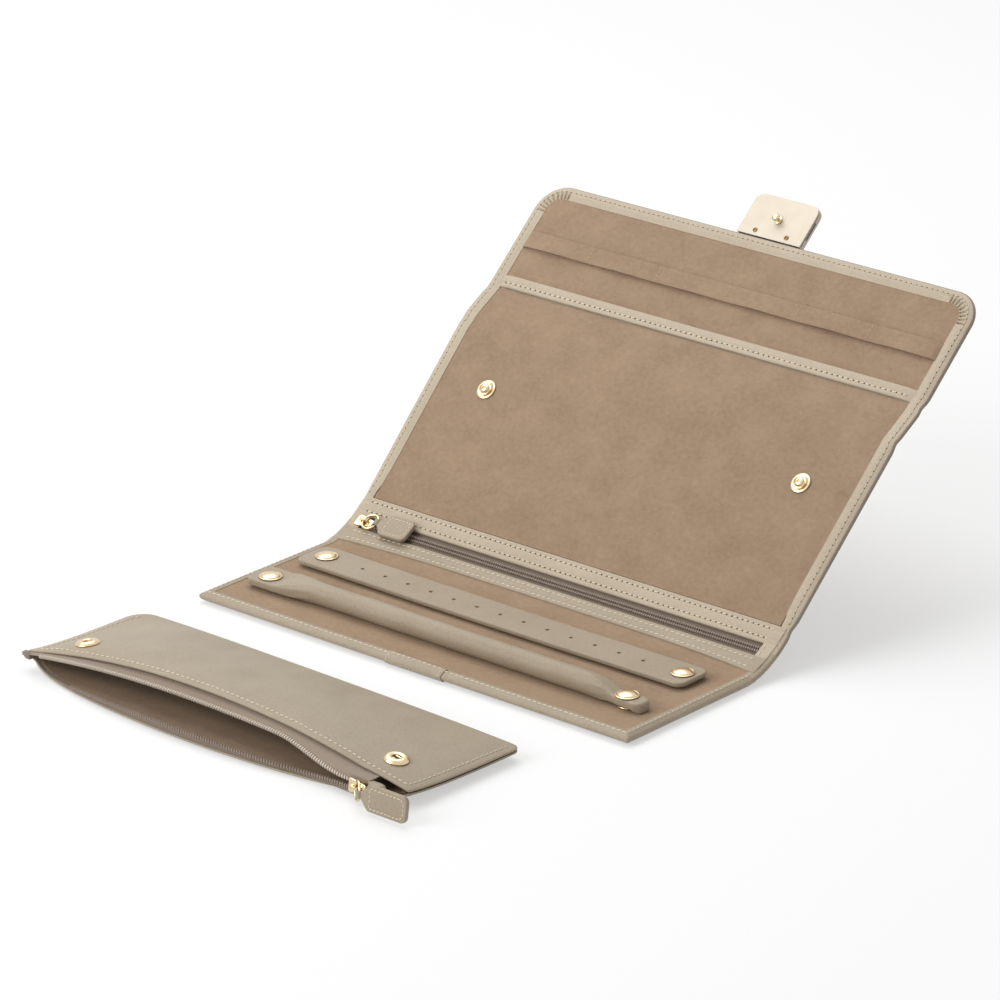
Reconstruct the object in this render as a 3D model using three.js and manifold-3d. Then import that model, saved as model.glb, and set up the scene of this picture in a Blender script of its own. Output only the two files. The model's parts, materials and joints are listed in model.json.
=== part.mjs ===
// A leather jewelry roll lying open on a table, with its zip pouch taken off the back panel.
// Millimetres: +X runs along the folds, +Y from the front edge to the back, +Z up.
// The origin is the middle of the front panel's underside.
import * as THREE from 'three';
import { mergeVertices } from 'three/addons/utils/BufferGeometryUtils.js';
import Module from 'manifold-3d';

const wasm = await Module();
wasm.setup();

// Panels: widths along the folds, depths across them
const frontWidth = 234.5;
const backWidth = 238;
const frontDepth = 82;
const backDepth = 91;
const upperSpineDepth = 20.4;
const flapDepth = 56;
const frontCorner = 1;
const flapCorner = 14;

// Panel build: leather outside and turned over at the edges, board inside, suede lining
const frontSkin = 1.2;
const backSkin = 0.8;
const frontBoardThickness = 1.6;
const backBoardThickness = 0.9;
const liningThickness = 0.8;
const lipThickness = 0.8;
const borderWidth = 5;
const edgeRound = 0.7;
const layerGap = 0.25;
const liningRecess = 0.2;
const foldGap = 0.4;
const reverseFoldGap = 1.2;

// Angle of each panel to the one before it as the roll stands open, and the back panel's slope when closed
const spineAngle = 31;
const backAngle = 13.1;
const upperSpineAngle = -14.1;
const flapAngle = 12;
const closedBackSlope = 7.5;
const upright = 90;

// Zip spine: two stitched bands with the zip between them, dished towards the outside
const lowerBandDepth = 10;
const zipWindow = 6.6;
const upperBandDepth = 9.5;
const spineDip = 8;
const bandThickness = 0.8;
const spineSkin = 0.7;

// Zip: tape, coil, slider, ring and leather pull, the same on the roll and the pouch
const tapeThickness = 0.4;
const tapeTuck = 4;
const coilWidth = 1.3;
const coilHeight = 1;
const coilGap = 1;
const sliderLength = 9;
const sliderWidth = 6.2;
const sliderNose = 3.4;
const sliderCorner = 1.5;
const sliderNoseCorner = 1;
const sliderTop = 0.8;
const sliderPlate = 0.5;
const sliderPlateWidth = 4.6;
const sliderPlateCorner = 1;
const sliderEdge = 0.25;
const sliderNeckLength = 3;
const sliderNeckClearance = 0.2;
const bailHole = 1.5;
const bailThickness = 1;
const bailWidth = 1.2;
const ringRadius = 3.8;
const ringWire = 0.55;
const ringClearance = 0.2;
const sleeveWall = 0.5;
const sleeveClearance = 0.45;
const sleeveWidth = 3;
const pullLength = 23;
const pullWidth = 11;
const pullThickness = 1.8;
const pullCorner = 2.5;
const pullShoulder = 3;
const zipEndMargin = 4.8;
const zipRingTurn = 4;
const zipPullTurn = -2;
const coilChamfer = 0.3;

// Ring bar and earring strap, held by a rivet at the left and a press stud at the right
const fastenerInset = 19.85;
const ringBarPlace = 23.5;
const ringBarRadius = 4.7;
const ringBarTabWidth = 12.5;
const ringBarTabThickness = 3.6;
const ringBarTabEnd = 10.6;
const ringBarTaper = 22;
const ringBarTabCorner = 3;
const ringBarTabSquareness = 0.35;
const strapPlace = 58.5;
const strapWidth = 20;
const strapThickness = 2.2;
const strapEnd = 12;
const strapCorner = 4;
const strapHoleCount = 13;
const strapHoleInset = 20.6;
const strapHoleRadius = 0.9;
const liftFold = 8.8;
const liftGap = 0.4;

// Press studs, rivets and snap caps
const seatGap = 0.1;
const studFlangeRadius = 4.6;
const studFlangeHeight = 1;
const studPostRadius = 1.5;
const studReach = 0.8;
const studClearance = 0.4;
const stackGap = 0.2;
const capRadius = 5;
const capRim = 0.6;
const capDome = 1.6;
const capSocketDepth = 1.3;

// Pouch studs on the back panel and the matching sockets on the pouch
const pouchStudInset = 33;
const pouchStudPlace = 62;
const pouchStudRadius = 4.5;
const pouchStudHeight = 2.4;
const pouchStudRim = 0.6;
const pouchStudBall = 2.2;
const pouchStudNeck = 1.8;
const pouchStudCrown = 1.5;
const socketRadius = 5.8;
const socketHeight = 1.8;
const socketRim = 0.9;
const socketCrown = 4.6;
const socketBore = 3;
const socketFloor = 0.6;
const socketPlace = 14.5;
const socketSeat = 0.6;

// Necklace band and pocket binding on the flap
const necklaceBandPlace = 22;
const necklaceBandWidth = 8.5;
const necklaceBandThickness = 0.5;
const necklaceLoops = 6;
const necklaceLoopRise = 0.8;
const necklaceStitchFlat = 2;
const bindingWidth = 6;
const bindingThickness = 0.8;
const bindingPlace = 1;

// Clasp on the flap's outer edge and the catch in the front panel
const claspOffset = 3;
const claspWidth = 34;
const claspReach = 21;
const claspOverlap = 11;
const claspPlate = 0.8;
const claspEdge = 0.25;
const claspCorner = 5;
const claspCavity = 2;
const claspFaceDrop = 0.8;
const claspSetOff = 0.4;
const claspSlotFrom = 5;
const claspSlotLength = 9;
const claspSlotHeight = 0.8;
const claspStudPlace = 10;
const claspStudNeck = 1.1;
const claspStudHead = 1.8;
const claspStudHeight = 4.8;
const claspStudCollar = 0.8;
const claspStudHeadHeight = 2.4;
const claspStudCrown = 1.2;
const claspScrewSpan = 17;
const claspScrewPlace = 3;
const claspScrewRadius = 1.5;
const claspScrewShank = 0.8;
const claspScrewHead = 0.7;
const claspScrewCrown = 1;
const claspScrewClearance = 0.2;
const catchTabWidth = 31;
const catchTabThickness = 0.7;
const catchTabTail = 14;
const catchTabGap = 0.1;
const catchRadius = 6;
const catchBore = 3.2;
const catchWall = 0.5;

// Pouch: flat underneath, arched above, with its zip mouth open towards the front
const pouchInset = 13;
const pouchDepth = 65;
const pouchX = -13.6;
const pouchY = -108;
const pouchTurn = -1.2;
const pouchSkin = 0.9;
const pouchLiningThickness = 0.5;
const pouchSeamRise = 1.5;
const pouchSeamLift = 3.2;
const pouchFullness = 8.5;
const pouchCrownFrom = 0.04;
const pouchCrownSpan = 0.7;
const pouchEndPower = 3.5;
const pouchFloorPower = 8;
const pouchFoldPower = 10;
const pouchCornerPower = 4;
const mouthShift = 10;
const mouthInset = 14;
const upperLipRise = 4.5;
const upperLipSetback = 4;
const lowerLipReach = 11;
const pouchLiningMargin = 12;
const pouchLiningSetback = 7;
const lipTapeReach = 3;
const lipTapeDrop = 2.5;
const lipTapeTuck = 2;
const lipTapeSeat = 0.3;
const pouchCoil = 0.7;
const pouchCoilStart = 12;
const pouchSliderInset = 20.4;
const pouchSliderAhead = 5.5;
const pouchSliderHeight = 5.4;
const pouchZipLean = 8;
const pouchRingTurn = 35;
const pouchPullTurn = -36;
const pouchTapeHalf = 3.4;
const pouchTapeTurn = 20;
const endTabLength = 7.5;
const endTabWidth = 7;
const endTabThickness = 4;
const endTabCorner = 1;

const rad = THREE.MathUtils.degToRad;
const smoothstep = THREE.MathUtils.smoothstep;
const lerp = THREE.MathUtils.lerp;
const overcut = 1;
const weld = 1e-4;

// How finely curves are divided
const roundSides = 18;
const cornerSteps = 6;
const edgeSteps = 2;
const barSides = 16;
const taperSteps = 5;
const wireSides = 8;
const wireSteps = 20;
const loopSteps = 6;
const wallColumns = 24;
const wallRows = 6;
const liningColumns = 16;
const liningRows = 4;
const tapeSteps = 26;
const beadSides = 6;

// Sizes that follow from the ones above
const frontThickness = frontSkin + frontBoardThickness + liningThickness + 2 * layerGap + liningRecess;
const backThickness = backSkin + backBoardThickness + liningThickness + 2 * layerGap + liningRecess;
const upperSpineThickness = backSkin + liningThickness + layerGap + liningRecess;
const liningTop = -liningRecess;
const liningBottom = liningTop - liningThickness;
const spineDrop = lowerBandDepth * Math.sin(rad(spineDip));
const lowerBandEdge = lowerBandDepth * Math.cos(rad(spineDip));
const upperBandEdge = lowerBandEdge + zipWindow;
const spineChord = upperBandEdge + Math.sqrt(upperBandDepth ** 2 - spineDrop ** 2);
const tapeTop = -bandThickness - layerGap;
const spineSkinTop = tapeTop - tapeThickness - sliderPlate - 2 * layerGap;
const fastenerSpan = frontWidth - 2 * fastenerInset;
const strapHolePitch = (fastenerSpan - 2 * strapHoleInset) / (strapHoleCount - 1);
const pouchStudSpan = backWidth - 2 * pouchStudInset;
const pouchLength = backWidth - 2 * pouchInset;
const mouthHalf = pouchLength / 2 - mouthInset;
const mouthMiddle = -mouthShift;
const pouchSliderX = pouchLength / 2 - pouchSliderInset;
const halfSpan = fastenerSpan / 2;
const liftFoldX = -halfSpan + liftFold;
const studTop = liningTop + seatGap + studFlangeHeight;
const tabBottom = studTop + stackGap;

// Materials
const leather = new THREE.MeshStandardMaterial({ color: 0xb2a691, roughness: 0.5 });
const suede = new THREE.MeshStandardMaterial({ color: 0xa58c73, roughness: 0.95 });
const card = new THREE.MeshStandardMaterial({ color: 0x8f8779, roughness: 0.9 });
const gold = new THREE.MeshStandardMaterial({ color: 0xe0c896, roughness: 0.25, metalness: 1 });
const tape = new THREE.MeshStandardMaterial({ color: 0x6e6157, roughness: 0.8 });
const nylon = new THREE.MeshStandardMaterial({ color: 0x7d7068, roughness: 0.5 });

function add(parent, name, geometry, material) {
  const mesh = new THREE.Mesh(geometry, material);
  mesh.name = name;
  parent.add(mesh);
  return mesh;
}

function groupAt(parent, x, y, z, turnX = 0) {
  const group = new THREE.Group();
  group.position.set(x, y, z);
  group.rotation.x = rad(turnX);
  parent.add(group);
  return group;
}

// Joins and cuts
function solidOf(geometry) {
  const bare = new THREE.BufferGeometry();
  bare.setAttribute('position', geometry.getAttribute('position'));
  bare.setIndex(geometry.index);
  const merged = mergeVertices(bare, weld);
  return new wasm.Manifold(new wasm.Mesh({
    numProp: 3,
    vertProperties: merged.attributes.position.array,
    triVerts: new Uint32Array(merged.index.array),
  }));
}

function geometryOf(solid) {
  const mesh = solid.getMesh();
  const geometry = new THREE.BufferGeometry();
  geometry.setAttribute('position', new THREE.BufferAttribute(mesh.vertProperties, 3));
  geometry.setIndex(new THREE.BufferAttribute(mesh.triVerts, 1));
  geometry.computeVertexNormals();
  return geometry;
}

function cut(body, ...tools) {
  return geometryOf(tools.reduce((left, tool) => left.subtract(solidOf(tool)), solidOf(body)));
}

function join(body, ...others) {
  return geometryOf(others.reduce((whole, other) => whole.add(solidOf(other)), solidOf(body)));
}

// Outlines in the XY plane
function roundedOutline(corners) {
  const shape = new THREE.Shape();
  corners.forEach(([x, y, radius], i) => {
    const [beforeX, beforeY] = corners[(i + corners.length - 1) % corners.length];
    const [afterX, afterY] = corners[(i + 1) % corners.length];
    const corner = new THREE.Vector2(x, y);
    const start = new THREE.Vector2(beforeX, beforeY).sub(corner).setLength(radius).add(corner);
    const end = new THREE.Vector2(afterX, afterY).sub(corner).setLength(radius).add(corner);
    if (i === 0) shape.moveTo(start.x, start.y);
    else shape.lineTo(start.x, start.y);
    if (radius > 0) shape.quadraticCurveTo(x, y, end.x, end.y);
  });
  shape.closePath();
  return shape;
}

function rectangle(x0, y0, x1, y1, radius = 0) {
  return roundedOutline([[x0, y0, radius], [x1, y0, radius], [x1, y1, radius], [x0, y1, radius]]);
}

function slab(shape, bottom, top) {
  const geometry = new THREE.ExtrudeGeometry(shape, {
    depth: top - bottom,
    bevelEnabled: false,
    curveSegments: cornerSteps,
  });
  return geometry.translate(0, 0, bottom);
}

function softSlab(shape, bottom, top, edge) {
  const geometry = new THREE.ExtrudeGeometry(shape, {
    depth: top - bottom - 2 * edge,
    bevelThickness: edge,
    bevelSize: edge,
    bevelOffset: -edge,
    bevelSegments: edgeSteps,
    curveSegments: cornerSteps,
  });
  return geometry.translate(0, 0, bottom + edge);
}

// A section drawn in (y, z) and run along X, or drawn in (x, z) and run along Y
function alongX(section, from, to) {
  const geometry = slab(section, from, to);
  return geometry.applyMatrix4(new THREE.Matrix4().makeBasis(
    new THREE.Vector3(0, 1, 0), new THREE.Vector3(0, 0, 1), new THREE.Vector3(1, 0, 0)));
}

function alongY(section, from, to) {
  const geometry = slab(section, -to, -from);
  return geometry.applyMatrix4(new THREE.Matrix4().makeBasis(
    new THREE.Vector3(1, 0, 0), new THREE.Vector3(0, 0, 1), new THREE.Vector3(0, -1, 0)));
}

// A profile of [radius, height] points from the bottom of the axis to its top, turned about Z
function turned(profile, x = 0, y = 0) {
  const points = profile.map(([radius, height]) => new THREE.Vector2(radius, height));
  const geometry = new THREE.LatheGeometry(points, roundSides);
  return geometry.rotateX(Math.PI / 2).translate(x, y, 0);
}

function round(radius, bottom, top, x = 0, y = 0) {
  return turned([[0, bottom], [radius, bottom], [radius, top], [0, top]], x, y);
}

// A closed skin through rings of points, each ring with the same number of points
function loft(rings) {
  const count = rings[0].length;
  const positions = rings.flat().flatMap((point) => point.toArray());
  const faces = [];
  for (let r = 0; r + 1 < rings.length; r += 1) {
    for (let i = 0; i < count; i += 1) {
      const a = r * count + i;
      const b = r * count + ((i + 1) % count);
      faces.push(a, b, a + count, b, b + count, a + count);
    }
  }
  const last = (rings.length - 1) * count;
  for (let i = 1; i + 1 < count; i += 1) {
    faces.push(0, i + 1, i, last, last + i, last + i + 1);
  }
  const geometry = new THREE.BufferGeometry();
  geometry.setAttribute('position', new THREE.Float32BufferAttribute(positions, 3));
  geometry.setIndex(faces);
  geometry.computeVertexNormals();
  return geometry;
}

// Panels: y runs from the fold or front edge, z is 0 on the inside face
function panelOutline(size, side, start, end) {
  const roundStart = Math.max(0, size.startCorner - Math.max(side, start));
  const roundEnd = Math.max(0, size.endCorner - Math.max(side, end));
  return roundedOutline([
    [-size.startHalf + side, size.from + start, roundStart],
    [size.startHalf - side, size.from + start, roundStart],
    [size.endHalf - side, size.to - end, roundEnd],
    [-size.endHalf + side, size.to - end, roundEnd],
  ]);
}

function leatherShell(size, skin, thickness, window) {
  const body = softSlab(panelOutline(size, 0, 0, 0), -thickness, 0, edgeRound);
  const cavity = slab(panelOutline(size, skin, skin, skin), skin - thickness, -lipThickness);
  const opening = slab(
    panelOutline(size, borderWidth, window.start, window.end), liningBottom - layerGap, overcut);
  return cut(body, cavity, opening);
}

function boardIn(size, skin, thickness, board) {
  const inset = skin + layerGap;
  const bottom = skin - thickness + layerGap;
  return slab(panelOutline(size, inset, inset, inset), bottom, bottom + board);
}

function liningIn(size, window) {
  const start = window.start > 0 ? window.start + layerGap : 0;
  const end = window.end > 0 ? window.end + layerGap : 0;
  return slab(panelOutline(size, borderWidth + layerGap, start, end), liningBottom, liningTop);
}

// Fasteners, standing on a lining whose face is at liningTop
function domeProfile(bottom) {
  const rim = bottom + capRim;
  const steps = [0, 30, 60, 90].map(rad);
  return steps.map((angle) => [capRadius * Math.cos(angle), rim + capDome * Math.sin(angle)]);
}

function rivet(capBottom, x, y) {
  const foot = liningTop + seatGap;
  const head = domeProfile(capBottom);
  head[head.length - 1][0] = 0;
  return turned([
    [0, foot], [studFlangeRadius, foot], [studFlangeRadius, studTop], [studPostRadius, studTop],
    [studPostRadius, capBottom], [capRadius, capBottom], ...head,
  ], x, y);
}

function pressStud(capBottom, x, y) {
  const foot = liningTop + seatGap;
  const top = capBottom + studReach;
  return turned([
    [0, foot], [studFlangeRadius, foot], [studFlangeRadius, studTop], [studPostRadius, studTop],
    [studPostRadius, top], [0, top],
  ], x, y);
}

function snapCap(capBottom, x, y) {
  const head = domeProfile(capBottom);
  head[head.length - 1][0] = 0;
  const bore = studPostRadius + studClearance;
  const roof = capBottom + capSocketDepth;
  return turned([[0, roof], [bore, roof], [bore, capBottom], [capRadius, capBottom], ...head], x, y);
}

const roll = new THREE.Group();

// Front panel, which lies on the table
const front = groupAt(roll, 0, -frontDepth / 2, frontThickness);
const frontSize = {
  startHalf: frontWidth / 2,
  endHalf: frontWidth / 2,
  from: 0,
  to: frontDepth - foldGap / 2,
  startCorner: frontCorner,
  endCorner: 0,
};
const frontWindow = { start: borderWidth, end: -overcut };

// The catch lies where the clasp's stud comes down when the roll is closed
const claspStudDepth = flapDepth + claspStudPlace;
const catchDepth = frontDepth - backDepth * Math.cos(rad(closedBackSlope)) + claspStudDepth;
const catchRoof = liningBottom - layerGap;
const tabSides = [claspOffset - catchTabWidth / 2, claspOffset + catchTabWidth / 2];

// The tab runs under the panel, up its front edge and over onto the border
function catchTab() {
  const tail = catchDepth + catchTabTail;
  const inside = -catchTabGap;
  const outside = inside - catchTabThickness;
  const floor = -frontThickness;
  const section = new THREE.Shape([
    new THREE.Vector2(outside, floor),
    new THREE.Vector2(tail, floor),
    new THREE.Vector2(tail, floor + catchTabThickness),
    new THREE.Vector2(inside, floor + catchTabThickness),
    new THREE.Vector2(inside, catchTabGap),
    new THREE.Vector2(borderWidth, catchTabGap),
    new THREE.Vector2(borderWidth, catchTabGap + catchTabThickness),
    new THREE.Vector2(outside, catchTabGap + catchTabThickness),
  ]);
  return alongX(section, tabSides[0], tabSides[1]);
}

const catchHole = round(catchRadius + layerGap, -frontThickness - overcut, catchRoof + layerGap,
  claspOffset, catchDepth);
const tabRecess = alongX(
  rectangle(-overcut, -frontThickness - overcut,
    catchDepth + catchTabTail + catchTabGap, catchTabThickness + catchTabGap - frontThickness),
  tabSides[0] - catchTabGap, tabSides[1] + catchTabGap);
add(front, 'front_leather',
  cut(leatherShell(frontSize, frontSkin, frontThickness, frontWindow), tabRecess, catchHole), leather);
add(front, 'front_board',
  cut(boardIn(frontSize, frontSkin, frontThickness, frontBoardThickness), catchHole), card);
add(front, 'front_lining', liningIn(frontSize, frontWindow), suede);
add(front, 'catch_tab', cut(catchTab(), catchHole), leather);
add(front, 'catch_socket', turned([
  [0, catchRoof - catchWall], [catchBore, catchRoof - catchWall], [catchBore, -frontThickness],
  [catchRadius, -frontThickness], [catchRadius, catchRoof], [0, catchRoof],
], claspOffset, catchDepth), gold);

// Ring bar: a stuffed leather roll with flat ends
const barCap = tabBottom + ringBarTabThickness + stackGap;
const barHole = studPostRadius + studClearance;
const barPost = round(barHole, tabBottom - overcut, barCap + overcut, halfSpan, ringBarPlace);
const barAnchorPost = round(barHole, tabBottom - overcut, barCap + overcut, -halfSpan, ringBarPlace);
const barHalfTab = ringBarTabWidth / 2;
const barMiddle = liningTop + stackGap + ringBarRadius;

function barRing(x, fullness, halfTab) {
  const halfWidth = lerp(halfTab, ringBarRadius, fullness);
  const halfHeight = lerp(ringBarTabThickness / 2, ringBarRadius, fullness);
  const height = lerp(tabBottom + ringBarTabThickness / 2, barMiddle, fullness);
  const squareness = lerp(ringBarTabSquareness, 1, fullness);
  const ring = [];
  for (let i = 0; i < barSides; i += 1) {
    const angle = (i / barSides) * 2 * Math.PI;
    const across = Math.sign(Math.cos(angle)) * Math.abs(Math.cos(angle)) ** squareness;
    const up = Math.sign(Math.sin(angle)) * Math.abs(Math.sin(angle)) ** squareness;
    ring.push(new THREE.Vector3(x, ringBarPlace + halfWidth * across, height + halfHeight * up));
  }
  return ring;
}

function ringBar() {
  const flat = capRadius + studClearance;
  const leftFlat = liftFoldX + liftGap / 2;
  const rightFlat = halfSpan - flat;
  const end = halfSpan + ringBarTabEnd;
  const rings = [];
  for (let step = 0; step <= taperSteps; step += 1) {
    const fullness = smoothstep(step, 0, taperSteps);
    rings.push(barRing(leftFlat + (ringBarTaper * step) / taperSteps, fullness, barHalfTab));
  }
  for (let step = taperSteps; step >= 0; step -= 1) {
    const fullness = smoothstep(step, 0, taperSteps);
    rings.push(barRing(rightFlat - (ringBarTaper * step) / taperSteps, fullness, barHalfTab));
  }
  rings.push(barRing(end - ringBarTabCorner, 0, barHalfTab));
  rings.push(barRing(end, 0, barHalfTab - ringBarTabCorner));
  return cut(loft(rings), barPost);
}

add(front, 'ring_bar_anchor', cut(slab(roundedOutline([
  [-halfSpan - ringBarTabEnd, ringBarPlace - barHalfTab, ringBarTabCorner],
  [liftFoldX - liftGap / 2, ringBarPlace - barHalfTab, 0],
  [liftFoldX - liftGap / 2, ringBarPlace + barHalfTab, 0],
  [-halfSpan - ringBarTabEnd, ringBarPlace + barHalfTab, ringBarTabCorner],
]), tabBottom, tabBottom + ringBarTabThickness), barAnchorPost), leather);
add(front, 'ring_bar_rivet', rivet(barCap, -halfSpan, ringBarPlace), gold);
add(front, 'ring_bar_stud', pressStud(barCap, halfSpan, ringBarPlace), gold);
add(front, 'ring_bar', ringBar(), leather);
add(front, 'ring_bar_snap', snapCap(barCap, halfSpan, ringBarPlace), gold);

// Earring strap: a flat leather strap with a row of holes
const strapCap = tabBottom + strapThickness + stackGap;
const strapHalf = strapWidth / 2;
const strapPost = round(barHole, tabBottom - overcut, strapCap + overcut, halfSpan, strapPlace);
const strapAnchorPost = round(barHole, tabBottom - overcut, strapCap + overcut, -halfSpan, strapPlace);

function earringStrap() {
  const outline = roundedOutline([
    [liftFoldX + liftGap / 2, strapPlace - strapHalf, 0],
    [halfSpan + strapEnd, strapPlace - strapHalf, strapCorner],
    [halfSpan + strapEnd, strapPlace + strapHalf, strapCorner],
    [liftFoldX + liftGap / 2, strapPlace + strapHalf, 0],
  ]);
  for (let i = 0; i < strapHoleCount; i += 1) {
    const hole = new THREE.Path();
    const x = (i - (strapHoleCount - 1) / 2) * strapHolePitch;
    hole.absarc(x, strapPlace, strapHoleRadius, 0, 2 * Math.PI);
    outline.holes.push(hole);
  }
  return cut(slab(outline, tabBottom, tabBottom + strapThickness), strapPost);
}

add(front, 'earring_strap_anchor', cut(slab(roundedOutline([
  [-halfSpan - strapEnd, strapPlace - strapHalf, strapCorner],
  [liftFoldX - liftGap / 2, strapPlace - strapHalf, 0],
  [liftFoldX - liftGap / 2, strapPlace + strapHalf, 0],
  [-halfSpan - strapEnd, strapPlace + strapHalf, strapCorner],
]), tabBottom, tabBottom + strapThickness), strapAnchorPost), leather);
add(front, 'earring_strap_rivet', rivet(strapCap, -halfSpan, strapPlace), gold);
add(front, 'earring_strap_stud', pressStud(strapCap, halfSpan, strapPlace), gold);
add(front, 'earring_strap', earringStrap(), leather);
add(front, 'earring_strap_snap', snapCap(strapCap, halfSpan, strapPlace), gold);

// Zip slider with its ring and leather pull: x along the zip, z out of it, 0 on the tape
const sliderTopBottom = coilHeight + 2 * layerGap;
const sliderTopFace = sliderTopBottom + sliderTop;
const ringHeight = sliderTopFace + ringWire + ringClearance;
const sleeveBore = ringWire + sleeveClearance;
const sleeveRadius = sleeveBore + sleeveWall;

function sliderBody() {
  const half = sliderLength / 2;
  const wide = sliderWidth / 2;
  const nose = sliderNose / 2;
  const top = softSlab(roundedOutline([
    [-half, -wide, sliderCorner], [half, -nose, sliderNoseCorner],
    [half, nose, sliderNoseCorner], [-half, wide, sliderCorner],
  ]), sliderTopBottom, sliderTopFace, sliderEdge);
  const plateTop = -tapeThickness - layerGap;
  const plate = slab(rectangle(-half, -sliderPlateWidth / 2, half, sliderPlateWidth / 2, sliderPlateCorner),
    plateTop - sliderPlate, plateTop);
  const neckHalf = coilGap / 2 - sliderNeckClearance;
  const neck = slab(rectangle(-half + layerGap, -neckHalf, -half + layerGap + sliderNeckLength, neckHalf),
    plateTop - sliderPlate / 2, sliderTopBottom + sliderTop / 2);
  const arch = new THREE.Shape();
  const outside = bailHole + bailThickness;
  arch.moveTo(outside, -sliderTop / 2);
  arch.lineTo(outside, 0);
  arch.absarc(0, 0, outside, 0, Math.PI, false);
  arch.lineTo(-outside, -sliderTop / 2);
  arch.lineTo(-bailHole, -sliderTop / 2);
  arch.lineTo(-bailHole, 0);
  arch.absarc(0, 0, bailHole, Math.PI, 0, true);
  arch.lineTo(bailHole, -sliderTop / 2);
  arch.closePath();
  const bail = alongY(arch, -bailWidth / 2, bailWidth / 2).translate(0, 0, sliderTopFace);
  return join(top, neck, plate, bail);
}

function pullRing() {
  return new THREE.TorusGeometry(ringRadius, ringWire, wireSides, wireSteps).translate(ringRadius, 0, 0);
}

function pullTab() {
  const sleeve = new THREE.Shape();
  sleeve.absarc(0, 0, sleeveRadius, 0, 2 * Math.PI);
  const bore = new THREE.Path();
  bore.absarc(0, 0, sleeveBore, 0, 2 * Math.PI);
  sleeve.holes.push(bore);
  const loop = alongY(sleeve, -sleeveWidth / 2, sleeveWidth / 2);
  const start = sleeveBore + sleeveWall / 2;
  const blade = slab(roundedOutline([
    [start, -sleeveWidth / 2, 0], [sleeveRadius + pullShoulder, -pullWidth / 2, pullCorner / 2],
    [pullLength, -pullWidth / 2, pullCorner], [pullLength, pullWidth / 2, pullCorner],
    [sleeveRadius + pullShoulder, pullWidth / 2, pullCorner / 2], [start, sleeveWidth / 2, 0],
  ]), -pullThickness / 2, pullThickness / 2);
  return join(loop, blade);
}

function zipPull(carrier, names, ringTurn, pullTurn) {
  add(carrier, names.slider, sliderBody(), gold);
  const ring = groupAt(carrier, 0, 0, ringHeight);
  ring.name = names.ring + '_hinge';
  ring.rotation.y = -rad(ringTurn);
  add(ring, names.ring, pullRing(), gold);
  const pull = groupAt(ring, 2 * ringRadius, 0, 0);
  pull.name = names.pull + '_hinge';
  pull.rotation.y = -rad(pullTurn);
  add(pull, names.pull, pullTab(), leather);
}

// Zip spine: the outside skin with its side borders, two bands, two tapes and the coil
const spine = groupAt(roll, 0, frontDepth / 2, frontThickness, spineAngle);
spine.name = 'lower_fold';

function spineLine(y) {
  if (y < lowerBandEdge) return (-spineDrop * y) / lowerBandEdge;
  if (y > upperBandEdge) return (-spineDrop * (spineChord - y)) / (spineChord - upperBandEdge);
  return -spineDrop;
}

function spineStrip(from, to, top, thickness) {
  const stops = [from, ...[lowerBandEdge, upperBandEdge].filter((y) => y > from && y < to), to];
  const above = stops.map((y) => new THREE.Vector2(y, spineLine(y) + top));
  const below = stops.map((y) => new THREE.Vector2(y, spineLine(y) + top - thickness)).reverse();
  return new THREE.Shape([...above, ...below]);
}

function coilSection(y, z) {
  return new THREE.Shape([
    new THREE.Vector2(y, z),
    new THREE.Vector2(y + coilWidth, z),
    new THREE.Vector2(y + coilWidth, z + coilHeight - coilChamfer),
    new THREE.Vector2(y + coilWidth - coilChamfer, z + coilHeight),
    new THREE.Vector2(y + coilChamfer, z + coilHeight),
    new THREE.Vector2(y, z + coilHeight - coilChamfer),
  ]);
}

const spineFrom = foldGap / 2;
const spineTo = spineChord - foldGap / 2;
const spineHalf = frontWidth / 2;
const zipHalf = spineHalf - borderWidth - layerGap;
const zipMiddle = (lowerBandEdge + upperBandEdge) / 2;
const spineBorder = spineStrip(spineFrom, spineTo, 0, spineSkin - spineSkinTop);
add(spine, 'spine_leather', join(
  alongX(spineStrip(spineFrom, spineTo, spineSkinTop, spineSkin), -spineHalf, spineHalf),
  alongX(spineBorder, -spineHalf, -spineHalf + borderWidth),
  alongX(spineBorder, spineHalf - borderWidth, spineHalf)), leather);
add(spine, 'spine_lower_band',
  alongX(spineStrip(spineFrom, lowerBandEdge, 0, bandThickness), -zipHalf, zipHalf), leather);
add(spine, 'spine_upper_band',
  alongX(spineStrip(upperBandEdge, spineTo, 0, bandThickness), -zipHalf, zipHalf), leather);
add(spine, 'zip_tape_lower', alongX(
  spineStrip(lowerBandEdge - tapeTuck, zipMiddle - coilGap / 2, tapeTop, tapeThickness),
  -zipHalf, zipHalf), tape);
add(spine, 'zip_tape_upper', alongX(
  spineStrip(zipMiddle + coilGap / 2, upperBandEdge + tapeTuck, tapeTop, tapeThickness),
  -zipHalf, zipHalf), tape);
const coilFoot = tapeTop - spineDrop + layerGap;
add(spine, 'zip_coil_lower',
  alongX(coilSection(zipMiddle - coilGap / 2 - coilWidth, coilFoot), -zipHalf, zipHalf), nylon);
add(spine, 'zip_coil_upper',
  alongX(coilSection(zipMiddle + coilGap / 2, coilFoot), -zipHalf, zipHalf), nylon);
const zipStart = -zipHalf + zipEndMargin;
const zipCarrier = groupAt(spine, zipStart, zipMiddle, tapeTop - spineDrop);
zipPull(zipCarrier, { slider: 'zip_slider', ring: 'zip_ring', pull: 'zip_pull_tab' },
  zipRingTurn, zipPullTurn);

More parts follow.
